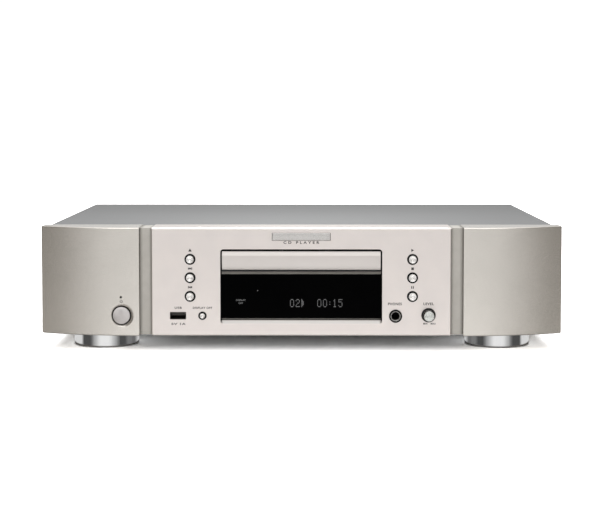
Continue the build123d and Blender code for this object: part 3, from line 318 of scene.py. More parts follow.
def make_materials():
    """One finish for each of the record's material slots, and a few for the added pieces."""
    made = [
        panel_finish(),
        grained(
            "cheek_metal", (0.675, 0.646, 0.600), (0.705, 0.672, 0.626), 50.0,
            (0.24, 0.30), 5200.0, 0.010 * MM, (1.0, 1.0, 1.0), 0.95,
        ),
        grained(
            "door_metal", (0.640, 0.600, 0.575), (0.665, 0.624, 0.598), 90.0,
            (0.36, 0.44), 4200.0, 0.010 * MM, (0.12, 1.0, 1.0), 0.85,
        ),
        grained(
            "badge_metal", (0.58, 0.565, 0.55), (0.68, 0.66, 0.645), 200.0,
            (0.22, 0.32), 4800.0, 0.006 * MM, (0.08, 1.0, 1.0), 1.0,
        ),
        rib_finish(),
        grained(
            "cover_paint", (0.176, 0.179, 0.181), (0.218, 0.221, 0.223), 1500.0,
            (0.46, 0.58), 2600.0, 0.045 * MM, metallic=0.35,
        ),
        grained(
            "zinc_steel", (0.52, 0.53, 0.54), (0.66, 0.66, 0.65), 140.0,
            (0.30, 0.46), 900.0, 0.01 * MM, metallic=1.0,
        ),
        grained(
            "rear_paint", (0.030, 0.030, 0.031), (0.044, 0.044, 0.045), 900.0,
            (0.45, 0.6), 2400.0, 0.05 * MM,
        ),
        grained(
            "chrome", (0.86, 0.86, 0.86), (0.90, 0.90, 0.89), 90.0,
            (0.06, 0.10), 700.0, 0.002 * MM, (1.0, 1.0, 0.15), 1.0,
        ),
        turned(
            "button_metal", (0.78, 0.76, 0.74), (0.86, 0.84, 0.82), (0.20, 0.28), 8.0, 0.035 * MM
        ),
        grained(
            "ring_black", (0.006, 0.006, 0.006), (0.011, 0.011, 0.011), 800.0,
            (0.45, 0.6), 3000.0, 0.01 * MM, Specular_IOR_Level=0.08,
        ),
        grained(
            "window_smoked", (0.0004, 0.0004, 0.0005), (0.0007, 0.0007, 0.0008), 60.0,
            (0.03, 0.05), 500.0, 0.0004 * MM, Specular_IOR_Level=0.012,
        ),
        grained(
            "black_plastic", (0.014, 0.014, 0.015), (0.024, 0.024, 0.025), 700.0,
            (0.38, 0.52), 2600.0, 0.03 * MM,
        ),
        grained(
            "tube_glass", (0.03, 0.04, 0.045), (0.05, 0.06, 0.065), 300.0,
            (0.05, 0.1), 900.0, 0.002 * MM, Coat_Weight=0.5,
        ),
        circuit_board("board_brown", (0.22, 0.13, 0.055), (0.30, 0.19, 0.09)),
        circuit_board("board_green", (0.012, 0.070, 0.030), (0.030, 0.130, 0.055)),
        grained(
            "rubber", (0.016, 0.016, 0.016), (0.030, 0.030, 0.030), 600.0,
            (0.75, 0.9), 1800.0, 0.08 * MM,
        ),
        grained(
            "screw_steel", (0.30, 0.30, 0.31), (0.42, 0.42, 0.42), 900.0,
            (0.25, 0.4), 2600.0, 0.006 * MM, metallic=1.0,
        ),
        striped(
            "core_steel", (0.16, 0.15, 0.14), (0.34, 0.33, 0.31), 300.0, "Y",
            (0.4, 0.6), 0.08 * MM, metallic=1.0,
        ),
        striped(
            "coil_tape", (0.52, 0.36, 0.05), (0.72, 0.54, 0.10), 22.0, "Z", (0.25, 0.4), 0.1 * MM
        ),
        striped(
            "capacitor_sleeve", (0.012, 0.014, 0.035), (0.022, 0.026, 0.055), 10.0, "Z",
            (0.22, 0.34), 0.01 * MM,
        ),
        grained(
            "sink_aluminium", (0.50, 0.50, 0.50), (0.66, 0.66, 0.66), 200.0,
            (0.32, 0.46), 3000.0, 0.02 * MM, (1.0, 1.0, 0.05), 1.0,
        ),
        striped(
            "cable_grey", (0.30, 0.31, 0.32), (0.50, 0.51, 0.52), 130.0, "X", (0.4, 0.55), 0.15 * MM
        ),
        grained(
            "loader_plastic", (0.018, 0.018, 0.019), (0.030, 0.030, 0.031), 500.0,
            (0.42, 0.56), 2200.0, 0.04 * MM,
        ),
        grained(
            "tray_plastic", (0.020, 0.020, 0.021), (0.034, 0.034, 0.035), 600.0,
            (0.40, 0.55), 2400.0, 0.04 * MM,
        ),
        grained(
            "gear_plastic", (0.62, 0.60, 0.54), (0.74, 0.72, 0.66), 400.0,
            (0.3, 0.42), 1800.0, 0.02 * MM, Subsurface_Weight=0.1,
        ),
        grained(
            "motor_steel", (0.50, 0.50, 0.50), (0.62, 0.62, 0.61), 300.0,
            (0.2, 0.34), 2600.0, 0.01 * MM, (1.0, 1.0, 0.1), 1.0,
        ),
        grained(
            "deck_steel", (0.44, 0.45, 0.46), (0.58, 0.58, 0.58), 160.0,
            (0.3, 0.44), 1500.0, 0.01 * MM, metallic=1.0,
        ),
        grained(
            "rod_steel", (0.68, 0.68, 0.68), (0.78, 0.78, 0.78), 700.0,
            (0.08, 0.16), 2600.0, 0.003 * MM, (1.0, 0.1, 1.0), 1.0,
        ),
        grained(
            "lens_glass", (0.05, 0.03, 0.10), (0.10, 0.05, 0.18), 900.0,
            (0.02, 0.05), 900.0, 0.001 * MM, Coat_Weight=1.0,
        ),
        grained(
            "jack_gold", (0.72, 0.50, 0.18), (0.84, 0.62, 0.26), 900.0,
            (0.16, 0.26), 2600.0, 0.005 * MM, metallic=1.0,
        ),
        grained(
            "led_red", (0.012, 0.005, 0.004), (0.020, 0.008, 0.006), 900.0,
            (0.12, 0.2), 1800.0, 0.004 * MM, Coat_Weight=0.6,
        ),
        # The level knob's rim and side are darkened as painted shade.
        turned(
            "knob_metal", (0.50, 0.51, 0.49), (0.60, 0.61, 0.58), (0.24, 0.32), 9.0,
            0.030 * MM, rim=0.86,
        ),
        turned(
            "power_metal", (0.50, 0.475, 0.465), (0.55, 0.525, 0.515), (0.30, 0.38), 12.0,
            0.004 * MM,
        ),
        grained(
            "nickel", (0.40, 0.39, 0.37), (0.50, 0.49, 0.47), 700.0,
            (0.16, 0.26), 2600.0, 0.004 * MM, metallic=1.0,
        ),
        grained(
            "socket_dark", (0.020, 0.017, 0.014), (0.034, 0.029, 0.025), 700.0,
            (0.35, 0.5), 2600.0, 0.01 * MM, metallic=0.4,
        ),
        grained(
            "window_strip", (0.165, 0.158, 0.142), (0.195, 0.187, 0.170), 90.0,
            (0.16, 0.24), 1500.0, 0.002 * MM,
        ),
        grained(
            "print_dark", (0.030, 0.027, 0.024), (0.045, 0.041, 0.037), 1400.0,
            (0.5, 0.65), 4000.0, 0.004 * MM,
        ),
        grained(
            "print_white", (0.58, 0.58, 0.57), (0.68, 0.68, 0.67), 1400.0,
            (0.5, 0.65), 4000.0, 0.004 * MM,
        ),
        grained(
            "display_segment", (0.135, 0.138, 0.140), (0.165, 0.168, 0.170), 3000.0,
            (0.4, 0.5), 4000.0, 0.001 * MM, Specular_IOR_Level=0.1,
        ),
    ]
    for name, colour in (
        ("insulator_white", (0.72, 0.72, 0.70)),
        ("insulator_red", (0.45, 0.020, 0.018)),
        ("insulator_orange", (0.60, 0.18, 0.02)),
        ("insulator_black", (0.018, 0.018, 0.018)),
    ):
        paler = tuple(channel * 1.15 for channel in colour)
        made.append(grained(name, colour, paler, 700.0, (0.3, 0.42), 2600.0, 0.01 * MM))
    return {surface.name: surface.material for surface in made}


MATERIALS = make_materials()
# Nodes with a finish of their own, unlike the rest of their slot.
OWN_FINISH = {
    "usb_socket": "socket_dark", "level_knob": "knob_metal", "power_button": "power_metal",
}


def dress_nodes():
    """Each CAD node takes the finish of its slot in the record, or one of its own."""
    for name, node in frame["nodes"].items():
        for holder in node.material_slots:
            finish = OWN_FINISH.get(name, holder.material.name.split(".")[0])
            holder.material = MATERIALS[finish]


# ---- mesh helpers -------------------------------------------------------------------
SHARP_EDGE = math.radians(28.0)
LATHE_STEPS = 96


def piece(name, mesh, body, slot, materials=None, smooth=False):
    """Links a mesh as a piece that rides on a body."""
    made = bpy.data.objects.new(name, mesh)
    bpy.context.scene.collection.objects.link(made)
    for material in materials or (slot,):
        mesh.materials.append(MATERIALS[material])
    if smooth:
        for face in mesh.polygons:
            face.use_smooth = True
        mesh.set_sharp_from_angle(angle=SHARP_EDGE)
    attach(made, body)
    return made


def mesh_from(bm, name):
    bmesh.ops.recalc_face_normals(bm, faces=bm.faces)
    mesh = bpy.data.meshes.new(name)
    bm.to_mesh(mesh)
    bm.free()
    return mesh


def lathe(name, x, z, profile, body, slot, materials=None, closed=False):
    """Turns a profile of (radius, y[, material]) rows, in metres, round an axis along Y."""
    bm = bmesh.new()
    rings = []
    for radius, y, *_ in profile:
        if radius == 0.0:
            rings.append([bm.verts.new((x, y, z))])
            continue
        ring = []
        for i in range(LATHE_STEPS):
            angle = 2.0 * math.pi * i / LATHE_STEPS
            across, up = radius * math.cos(angle), radius * math.sin(angle)
            ring.append(bm.verts.new((x + across, y, z + up)))
        rings.append(ring)
    pairs = list(zip(range(len(rings) - 1), range(1, len(rings))))
    if closed:
        pairs.append((len(rings) - 1, 0))
    for first, second in pairs:
        a, b = rings[first], rings[second]
        index = profile[first][2] if len(profile[first]) > 2 else 0
        for i in range(LATHE_STEPS):
            j = (i + 1) % LATHE_STEPS
            if len(a) == 1:
                corners = (a[0], b[i], b[j])
            elif len(b) == 1:
                corners = (a[i], a[j], b[0])
            else:
                corners = (a[i], a[j], b[j], b[i])
            bm.faces.new(corners).material_index = index
    return piece(name, mesh_from(bm, name), body, slot, materials, smooth=True)


def plates(name, outlines, y0, y1, body, slot):
    """Flat (x, z) outlines, each made solid from y0 to y1."""
    bm = bmesh.new()
    for outline in outlines:
        front = [bm.verts.new((x, y0, z)) for x, z in outline]
        back = [bm.verts.new((x, y1, z)) for x, z in outline]
        bm.faces.new(front)
        bm.faces.new(list(reversed(back)))
        for i in range(len(outline)):
            j = (i + 1) % len(outline)
            bm.faces.new((front[i], back[i], back[j], front[j]))
    return piece(name, mesh_from(bm, name), body, slot)


def rectangle(x0, x1, z0, z1):
    return [(x0, z0), (x1, z0), (x1, z1), (x0, z1)]


def label(name, words, x, z, size, y, body, slot, facing=-1.0, width=None, spacing=1.12):
    """Printed words on a face at y; facing is -1 for the front and 1 for the rear.

    With a width, the words are stretched or squeezed to it.
    """
    data = bpy.data.curves.new(name, "FONT")
    data.body = words
    data.size = size
    data.align_x = "CENTER"
    data.align_y = "CENTER"
    data.space_character = spacing
    data.extrude = INK
    data.offset = 0.03 * size
    data.resolution_u = 3
    holder = bpy.data.objects.new(name + "_text", data)
    holder.rotation_euler = (math.radians(90.0), 0.0, 0.0 if facing < 0 else math.radians(180.0))
    holder.location = (x, y + facing * INK / 2, z)
    bpy.context.scene.collection.objects.link(holder)
    bpy.context.view_layer.update()
    mesh = bpy.data.meshes.new_from_object(holder)
    if width:
        mesh.transform(Matrix.Diagonal((width / holder.dimensions.x, 1.0, 1.0, 1.0)))
    mesh.transform(holder.matrix_world)
    mesh.name = name
    mesh.materials.clear()
    bpy.data.objects.remove(holder)
    return piece(name, mesh, body, slot)


def middle(node):
    low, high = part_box(node)
    return (low + high) / 2.0


# ---- front --------------------------------------------------------------------------
PANEL_LOW, PANEL_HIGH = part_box("centre_panel")
PANEL_FRONT = PANEL_LOW.y
TRANSPORT_BUTTONS = (
    "eject_button", "skip_forward_button", "skip_back_button",
    "play_button", "stop_button", "pause_button",
)


def make_buttons():
    """Turned caps: a bright rim, a shallow dish and a small boss left by the tool."""
    for node in (*TRANSPORT_BUTTONS, "display_button"):
        low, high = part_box(node)
        centre = (low + high) / 2.0
        # The clip behind the subframe is the widest part, so the box is wider than the cap.
        # bright is the share of the cap's radius that is bare metal, up to its black edge.
        clip, bright = (0.4 * MM, 0.80) if node == "display_button" else (0.2 * MM, 0.90)
        cap = (high.x - low.x) / 2.0 - clip
        face = low.y
        back = PANEL_FRONT + 4.5 * MM
        profile = [
            (0.0, face + 0.46 * MM), (0.10 * cap, face + 0.44 * MM), (0.12 * cap, face + 0.40 * MM),
            (0.30 * cap, face + 0.32 * MM), (0.50 * cap, face + 0.22 * MM),
            (0.70 * cap, face + 0.11 * MM), ((bright - 0.06) * cap, face + 0.02 * MM),
            ((bright - 0.03) * cap, face), (bright * cap, face),
            ((bright + 0.04) * cap, face + 0.10 * MM, 1), (cap, face + 0.45 * MM, 1),
            (cap, back, 1), (0.62 * cap, back, 1), (0.62 * cap, high.y, 1), (0.0, high.y, 1),
        ]
        finishes = ("button_metal", "ring_black")
        made = lathe(node + "_cap", centre.x, centre.z, profile, node, "button_metal", finishes)
        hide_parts(node)


def make_phones_socket():
    """Plated bushing round a black bore, and the dark ring that seats it in the panel."""
    low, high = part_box("phones_jack")
    centre = (low + high) / 2.0
    ring_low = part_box("phones_ring")[0]
    front, ring_front = low.y, ring_low.y
    bore, depth = 3.25 * MM, 31.7 * MM
    profile = [
        (0.0, front + depth, 1), (bore, front + depth, 1), (bore, front + 0.5 * MM, 0),
        (3.7 * MM, front, 0), (4.05 * MM, front, 0), (4.2 * MM, front + 0.15 * MM, 0),
        (4.2 * MM, high.y, 0), (0.0, high.y, 0),
    ]
    finishes = ("nickel", "socket_dark")
    made = lathe("phones_bushing", centre.x, centre.z, profile, "chassis", "chrome", finishes)
    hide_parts("phones_jack")
    ring_back = PANEL_HIGH.y - 31.0 * MM
    profile = [
        (4.3 * MM, ring_back), (4.3 * MM, ring_front + 0.5 * MM), (4.75 * MM, ring_front),
        (5.1 * MM, ring_front), (5.45 * MM, ring_front + 0.35 * MM), (5.45 * MM, PANEL_FRONT),
        (4.85 * MM, PANEL_FRONT), (4.85 * MM, ring_back),
    ]
    made = lathe("phones_seat", centre.x, centre.z, profile, "chassis", "ring_black", closed=True)
    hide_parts("phones_ring")


def make_level_gap_shade():
    """A black ring in the gap round the level knob, as painted shade of the gap."""
    low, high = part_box("level_knob")
    centre = (low + high) / 2.0
    front = PANEL_FRONT - 0.12 * MM
    back = PANEL_FRONT + 0.9 * MM
    knob = (high.x - low.x) / 2.0
    hole = knob + 0.6 * MM
    profile = [
        (knob + 0.12 * MM, back), (knob + 0.12 * MM, front + 0.1 * MM), (knob + 0.2 * MM, front),
        (hole + 0.35 * MM, front), (hole + 0.45 * MM, front + 0.1 * MM),
        (hole + 0.45 * MM, PANEL_FRONT),
        (hole - 0.03 * MM, PANEL_FRONT), (hole - 0.03 * MM, back),
    ]
    # Painted shade: a black ring standing in for the shade in the gap round the knob.
    lathe("level_gap_painted_shade", centre.x, centre.z, profile, "chassis", "rubber", closed=True)


def triangle(x, z, size, direction):
    """A solid arrowhead; direction is "up", "right" or "left"."""
    half, reach = size / 2.0, 0.42 * size
    if direction == "up":
        return [(x - half, z - reach), (x + half, z - reach), (x, z + reach)]
    if direction == "right":
        return [(x - reach, z - half), (x + reach, z), (x - reach, z + half)]
    return [(x + reach, z + half), (x - reach, z), (x + reach, z - half)]


def make_symbols():
    """Generic transport symbols printed over the six round buttons."""
    size = 2.6 * MM
    small = size * 0.8
    reach = size * 0.42
    bar = 0.6 * MM
    for node in TRANSPORT_BUTTONS:
        centre = middle(node)
        x, z = centre.x, centre.z + 7.6 * MM
        if node == "eject_button":
            below = z - 1.15 * MM
            shapes = [
                triangle(x, z + 0.35 * MM, size, "up"),
                rectangle(x - size / 2, x + size / 2, below, below + bar),
            ]
        elif node in ("skip_forward_button", "skip_back_button"):
            way, turn = ("right", 1.0) if node == "skip_forward_button" else ("left", -1.0)
            near, far = sorted((x + turn * 1.15 * MM, x + turn * (1.15 * MM + bar)))
            shapes = [
                triangle(x - turn * 0.8 * MM, z, small, way),
                triangle(x + turn * 0.5 * MM, z, small, way),
                rectangle(near, far, z - size * 0.4, z + size * 0.4),
            ]
        elif node == "play_button":
            shapes = [triangle(x, z, size, "right")]
        elif node == "stop_button":
            shapes = [rectangle(x - reach, x + reach, z - reach, z + reach)]
        else:
            half = 0.38 * MM
            bars = (x - 0.68 * MM, x + 0.68 * MM)
            shapes = [rectangle(mid - half, mid + half, z - reach, z + reach) for mid in bars]
        name = node.replace("_button", "_symbol")
        plates(name, shapes, PANEL_FRONT - INK, PANEL_FRONT + INK, "chassis", "print_dark")


def standby_symbol():
    """The usual broken ring with a bar through its gap, over the power button."""
    power = middle("power_button")
    x, z = power.x, power.z + 11.8 * MM
    # The cheek curves back from its inner edge, so its surface is further back here.
    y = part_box("left_cheek")[0].y + 0.55 * MM
    outer, thick = 1.2 * MM, 0.36 * MM
    inner = outer - thick
    steps = 28
    start, stop = math.radians(125.0), math.radians(415.0)
    shapes = []
    for i in range(steps):
        a = start + (stop - start) * i / steps
        b = start + (stop - start) * (i + 1) / steps
        shapes.append([
            (x + radius * math.cos(turn), z + radius * math.sin(turn))
            for radius, turn in ((outer, a), (inner, a), (inner, b), (outer, b))
        ])
    shapes.append(rectangle(x - thick / 2, x + thick / 2, z + 0.1 * MM, z + 1.35 * MM))
    plates("standby_symbol", shapes, y - 0.09 * MM, y + 0.1 * MM, "chassis", "print_dark")


def make_badge_shadow():
    """A thin dark line round the blank badge bar: a painted shadow."""
    low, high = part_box("badge_plate")
    rim = 0.3 * MM
    left, right = low.x - rim, high.x + rim
    edges = (
        rectangle(left, right, low.z - rim, low.z), rectangle(left, right, high.z, high.z + rim),
        rectangle(left, low.x, low.z, high.z), rectangle(high.x, right, low.z, high.z),
    )
    # Painted shadow: a dark line round the badge bar, standing in for its shade.
    plates("badge_painted_shadow", edges, PANEL_FRONT - INK, PANEL_FRONT + INK, "chassis", "print_dark")


def make_front_labels():
    """Generic words. A row has a name, words, place, letter size and width in mm, and spacing."""
    display = middle("display_button")
    usb = middle("usb_socket")
    phones = middle("phones_jack")
    level = middle("level_knob")
    badge = middle("badge_plate")
    rows = (
        ("label_usb", "USB", usb.x + 0.1 * MM, usb.z + 6.6 * MM, 2.4, 6.0, 1.12),
        ("label_usb_rating", "5V 1A", usb.x + 0.2 * MM, usb.z - 7.0 * MM, 2.4, 12.0, 1.12),
        ("label_display", "DISPLAY OFF", display.x, display.z + 6.5 * MM, 2.4, 16.1, 1.12),
        ("label_phones", "PHONES", phones.x - 0.6 * MM, phones.z + 10.1 * MM, 2.9, 11.6, 1.12),
        ("label_level", "LEVEL", level.x, level.z + 9.4 * MM, 2.9, 8.7, 1.12),
        ("label_level_ends", "MIN    MAX", level.x + 0.8 * MM, level.z - 7.2 * MM, 2.0, 10.5, 1.12),
        ("label_type", "CD PLAYER", badge.x, badge.z - 4.9 * MM, 3.0, 30.0, 1.7),
    )
    for name, words, x, z, size, width, spacing in rows:
        label(
            name, words, x, z, size * MM, PANEL_FRONT, "chassis", "print_dark",
            width=width * MM, spacing=spacing,
        )


def make_window():
    """Black front glass with a sloped strip along its top and bottom."""
    low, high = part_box("display_window")
    shoulder = low.y + 1.6 * MM
    bottom, top = low.z + 1.4 * MM, high.z - 2.1 * MM
    profile = [
        (high.y, low.z, 0), (shoulder, low.z, 1), (low.y, bottom, 0),
        (low.y, top, 1), (shoulder, high.z, 0), (high.y, high.z, 0),
    ]
    bm = bmesh.new()
    sides = [[bm.verts.new((x, y, z)) for y, z, _ in profile] for x in (low.x, high.x)]
    for i in range(len(profile)):
        j = (i + 1) % len(profile)
        face = bm.faces.new((sides[0][i], sides[0][j], sides[1][j], sides[1][i]))
        face.material_index = profile[i][2]
    bm.faces.new(sides[0])
    bm.faces.new(sides[1])
    mesh = mesh_from(bm, "window_glass")
    finishes = ("window_smoked", "window_strip")
    made = piece("window_glass", mesh, "chassis", "window_smoked", finishes)
    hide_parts("display_window")
    edge = made.modifiers.new("edge", "BEVEL")
    edge.width = 0.12 * MM
    edge.segments = 2
    edge.limit_method = "ANGLE"


GLYPHS = {
    "0": ("01110", "10001", "10001", "10001", "10001", "10001", "01110"),
    "1": ("00100", "01100", "00100", "00100", "00100", "00100", "01110"),
    "2": ("01110", "10001", "00001", "00110", "01000", "10000", "11111"),
    "5": ("11111", "10000", "11110", "00001", "00001", "10001", "01110"),
    ":": ("000", "000", "010", "000", "010", "000", "000"),
    ">": ("100", "110", "111", "111", "111", "110", "100"),
}


def dots(words, left, bottom, height):
    """Outlines of the dots of some dot-matrix words."""
    rise = height / 7.0
    pitch = rise * 0.70
    tall, wide = rise * 0.74, pitch * 0.86
    x = left
    shapes = []
    for letter in words:
        rows = GLYPHS[letter]
        for up, row in enumerate(reversed(rows)):
            for along, lit in enumerate(row):
                if lit == "1":
                    x0, z0 = x + along * pitch, bottom + up * rise
                    shapes.append(rectangle(x0, x0 + wide, z0, z0 + tall))
        x += (len(rows[0]) + 1.9) * pitch
    return shapes


def make_readout():
    """Track and time, as such a display shows them, and the small words beside them."""
    low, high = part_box("display_window")
    centre_x = (low.x + high.x) / 2.0
    face = low.y
    bottom = low.z + 10.9 * MM
    height = 6.9 * MM
    shapes = dots("02>", centre_x - 9.4 * MM, bottom, height)
    shapes += dots("00:15", centre_x + 13.4 * MM, bottom, height)
    shapes.append(triangle(centre_x - 36.3 * MM, low.z + 24.7 * MM, 1.3 * MM, "right"))
    plates("readout", shapes, face - INK, face + INK, "chassis", "display_segment")
    for i, words in enumerate(("DISPLAY", "OFF")):
        x, z = centre_x - 50.6 * MM, low.z + (16.6 - 2.5 * i) * MM
        name = f"label_display_off_{i + 1}"
        label(name, words, x, z, 2.0 * MM, face, "chassis", "display_segment")


# ---- rear ---------------------------------------------------------------------------
def rear_jacks():
    """Gilt shells with a coloured insulator round each pin hole."""
    low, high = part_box("phono_jacks")
    z = (low.z + high.z) / 2.0
    end = high.y
    flange, shell = 5.6 * MM, 4.15 * MM
    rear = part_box("rear_panel")[1].y
    # From the outermost inward: analogue right and left, coaxial, remote in and out.
    colours = ("red", "white", "orange", "black", "black")
    xs = [high.x - flange - step * MM for step in (0.0, 19.0, 60.0, 118.0, 137.0)]
    for i, (x, colour) in enumerate(zip(xs, colours)):
        profile = [
            (1.7 * MM, end - 10.5 * MM, 1), (1.7 * MM, end - 0.5 * MM, 1),
            (3.4 * MM, end - 0.5 * MM, 0), (3.4 * MM, end, 0), (3.75 * MM, end, 0),
            (shell, end - 0.4 * MM, 0), (shell, rear + 1.5 * MM, 0), (5.3 * MM, rear + 1.5 * MM, 0),
            (flange, rear + 1.2 * MM, 0), (flange, rear, 0), (shell, rear, 0),
            (shell, rear - 4.0 * MM, 0), (0.0, rear - 4.0 * MM, 0),
        ]
        finishes = ("jack_gold", f"insulator_{colour}")
        made = lathe(f"phono_jack_{i + 1}", x, z, profile, "chassis", "jack_gold", finishes)
        if i == 0:
            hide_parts("phono_jacks")
    return xs


def make_rear_labels(xs):
    """A word over each rear socket, and a ruled line with a word over each group of them."""
    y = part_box("rear_panel")[1].y
    z = middle("phono_jacks").z
    near, far = z + 9.0 * MM, z + 14.5 * MM
    right, left, coaxial, remote_in, remote_out = xs
    optical, mains = middle("optical_socket").x, middle("mains_inlet").x
    rows = (
        ("rear_right", "R", right, near, 3.0),
        ("rear_left", "L", left, near, 3.0),
        ("rear_analogue", "ANALOG OUT", (right + left) / 2, far, 3.2),
        ("rear_coaxial", "COAXIAL", coaxial, near, 2.8),
        ("rear_optical", "OPTICAL", optical, near, 2.8),
        ("rear_digital", "DIGITAL OUT", (coaxial + optical) / 2, far, 3.2),
        ("rear_in", "IN", remote_in, near, 2.8),
        ("rear_out", "OUT", remote_out, near, 2.8),
        ("rear_remote", "REMOTE CONTROL", (remote_in + remote_out) / 2, far, 3.2),
        ("rear_mains", "AC IN", mains, far, 3.2),
    )
    for name, words, x, height, size in rows:
        label(name, words, x, height, size * MM, y, "chassis", "print_white", facing=1.0)
    bars = []
    for x0, x1 in ((left, right), (optical, coaxial), (remote_out, remote_in)):
        bars.append(rectangle(x0 - 8 * MM, x1 + 8 * MM, z + 12.0 * MM, z + 12.3 * MM))
    plates("rear_rules", bars, y - INK, y + INK, "chassis", "print_white")


# ---- studio -------------------------------------------------------------------------
# The studio is darker and warmer at the sides than in front, and so is the floor there.
SIDE_SHADE = (0.14, 0.12, 0.095)
FLOOR_SIDE_SHADE = (0.17, 0.150, 0.122)
WHITE = (1.0, 1.0, 1.0, 1.0)


def make_world():
    """A white studio in front, darker and warmer towards the sides, and a little darker behind."""
    world = bpy.data.worlds.new("studio")
    bpy.context.scene.world = world
    sky = NodeTree(world)
    sky.tree.nodes.clear()
    coords = sky.node("ShaderNodeTexCoord")
    x, y, _ = sky.along(coords.outputs["Generated"])
    falloff = sky.node("ShaderNodeValToRGB")
    ramp = falloff.color_ramp
    ramp.interpolation = "EASE"
    shades = ((0.32, (0.95, 0.95, 0.95)), (0.70, SIDE_SHADE))
    for stop, (position, colour) in zip(ramp.elements, shades):
        stop.position = position
        stop.color = (*colour, 1.0)
    sky.link(sky.maths("ABSOLUTE", x), falloff.inputs["Fac"])
    lighting = sky.node("ShaderNodeBackground")
    sky.link(falloff.outputs["Color"], lighting.inputs["Color"])
    sky.link(sky.between(y, 1.0, 0.72, 0.0, 0.6), lighting.inputs["Strength"])
    backdrop = sky.node("ShaderNodeBackground")
    backdrop.inputs["Color"].default_value = WHITE
    backdrop.inputs["Strength"].default_value = 1.05
    output = sky.node("ShaderNodeOutputWorld")
    sky.for_camera(backdrop.outputs["Background"], lighting.outputs["Background"], output)


def darken_sides(paper):
    """Dark paper to the left and right of the player, by the slope of the line from its middle."""
    x, y, _ = paper.along(paper.coords.outputs["Object"])
    slope = paper.maths("ABSOLUTE", paper.maths("DIVIDE", x, y))
    side = paper.between(slope, 0.0, 0.62, 0.62, 1.30)
    paper.colour(paper.blend(side, paper.colour_so_far(), FLOOR_SIDE_SHADE))


def overexpose(paper):
    """The camera sees the floor about four times as bright as the player does, so it burns out."""
    bright = paper.node("ShaderNodeBsdfDiffuse")
    bright.inputs["Color"].default_value = (3.3, 3.3, 3.3, 1.0)
    output = paper.tree.nodes["Material Output"]
    paper.for_camera(bright.outputs["BSDF"], paper.shader.outputs["BSDF"], output)


def make_floor():
    bm = bmesh.new()
    bmesh.ops.create_grid(bm, x_segments=8, y_segments=8, size=12.0)
    mesh = mesh_from(bm, "floor")
    floor = bpy.data.objects.new("floor", mesh)
    bpy.context.scene.collection.objects.link(floor)
    paper = grained(
        "floor_paper", (0.82, 0.82, 0.82), (0.85, 0.85, 0.85), 3.0, (0.8, 0.9), 300.0, 0.01 * MM,
        Specular_IOR_Level=0.1,
    )
    darken_sides(paper)
    overexpose(paper)
    mesh.materials.append(paper.material)


# Round a left foot: a bright card in front with soft edges, a dark one on each side of it and a
# pale surround. Each stop is a direction in degrees from the foot's front, and a brightness.
CARD_STOPS = (
    (-180, 0.70), (-57, 0.70), (-50, 0.06), (-30, 0.06), (-6, 0.90), (12, 0.90),
    (36, 0.10), (50, 0.10), (60, 0.20), (85, 0.16), (105, 0.60), (180, 0.70),
)
CARD_STEP = 0.04
CARD_COUNT = 120
CARD_RADIUS = 36.0 * MM
CARD_BOTTOM = 0.3 * MM
CARD_TOP = 12.9 * MM


def card_level(azimuth):
    """Brightness between the two stops on either side of this direction, in whole steps."""
    for (start, first), (stop, last) in zip(CARD_STOPS, CARD_STOPS[1:]):
        if start <= azimuth <= stop:
            break
    strength = first + (last - first) * (azimuth - start) / (stop - start)
    return max(1, round(strength / CARD_STEP))


def card_paper(level):
    made = bpy.data.materials.new(f"card_{level}")
    card = NodeTree(made)
    card.tree.nodes.clear()
    glow = card.node("ShaderNodeEmission")
    glow.inputs["Strength"].default_value = level * CARD_STEP
    output = card.node("ShaderNodeOutputMaterial")
    card.link(glow.outputs["Emission"], output.inputs["Surface"])
    return made


def foot_centres():
    """The middle of each foot, from the box round all four."""
    low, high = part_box("feet")
    rows = (low.y + FOOT_RADIUS, high.y - FOOT_RADIUS)
    columns = (low.x + FOOT_RADIUS, high.x - FOOT_RADIUS)
    return [(x, y) for y in rows for x in columns]


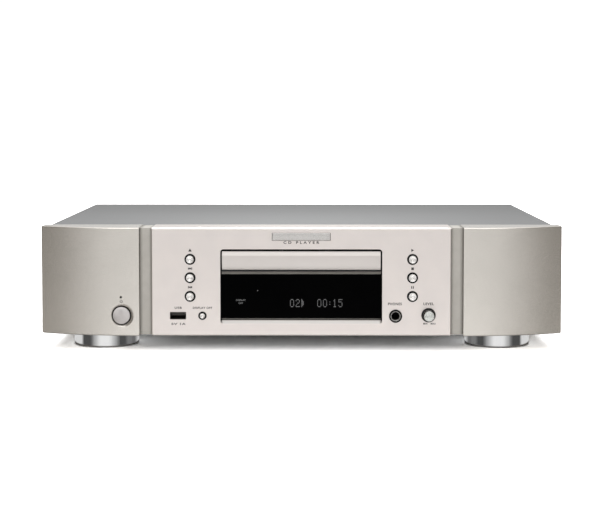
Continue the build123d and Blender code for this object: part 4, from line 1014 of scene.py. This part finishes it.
def make_foot_cards():
    """A ring of light and dark cards round each foot, seen only in its chrome.

    The right feet's cards are the left feet's mirrored, and the rear feet's are turned half round.
    """
    papers = [card_paper(level) for level in range(1, round(1.0 / CARD_STEP) + 1)]
    for i, (x, y) in enumerate(foot_centres()):
        bm = bmesh.new()
        for k in range(CARD_COUNT):
            corners = []
            edges = (
                (k, CARD_BOTTOM), (k + 1, CARD_BOTTOM), (k + 1, CARD_TOP), (k, CARD_TOP),
            )
            for edge, z in edges:
                turn = 2.0 * math.pi * edge / CARD_COUNT
                place = (x + CARD_RADIUS * math.sin(turn), y - CARD_RADIUS * math.cos(turn), z)
                corners.append(bm.verts.new(place))
            azimuth = (k + 0.5) * 360.0 / CARD_COUNT
            azimuth = azimuth + 180.0 if y > 0 else azimuth
            azimuth = (azimuth + 180.0) % 360.0 - 180.0
            azimuth = -azimuth if x > 0 else azimuth
            bm.faces.new(corners).material_index = card_level(azimuth) - 1
        mesh = mesh_from(bm, f"foot_card_{i + 1}")
        for paper in papers:
            mesh.materials.append(paper)
        card = bpy.data.objects.new(mesh.name, mesh)
        bpy.context.scene.collection.objects.link(card)
        card.visible_camera = False
        card.visible_diffuse = False
        card.visible_shadow = False
        card.visible_transmission = False


def area_light(name, place, aim, width, height, power):
    data = bpy.data.lights.new(name, "AREA")
    data.shape = "RECTANGLE"
    data.size = width
    data.size_y = height
    data.energy = power
    lamp = bpy.data.objects.new(name, data)
    lamp.location = place
    lamp.rotation_euler = (Vector(aim) - Vector(place)).to_track_quat("-Z", "Y").to_euler()
    bpy.context.scene.collection.objects.link(lamp)


def make_lights():
    area_light("overhead", (0.0, -0.1, 1.9), (0.0, 0.0, 0.0), 2.6, 2.2, 11.5)
    area_light("top_spot", (0.0, -0.085, 0.38), (0.0, -0.085, 0.10), 0.24, 0.05, 1.05)
    area_light("left_fill", (-0.8, -2.2, 1.1), (-0.1, -0.1, 0.05), 0.9, 0.9, 5.6)
    area_light("right_fill", (0.8, -2.2, 1.1), (0.1, -0.1, 0.05), 0.9, 0.9, 5.6)
    area_light("front_edge", (0.0, -0.42, 0.62), (0.0, -0.16, 0.10), 0.9, 0.16, 0.25)


make_camera()
dress_nodes()
make_buttons()
make_phones_socket()
make_level_gap_shade()
make_symbols()
standby_symbol()
make_badge_shadow()
make_front_labels()
make_window()
make_readout()
make_rear_labels(rear_jacks())
make_world()
make_floor()
make_foot_cards()
make_lights()
bpy.context.scene.view_settings.view_transform = "Standard"
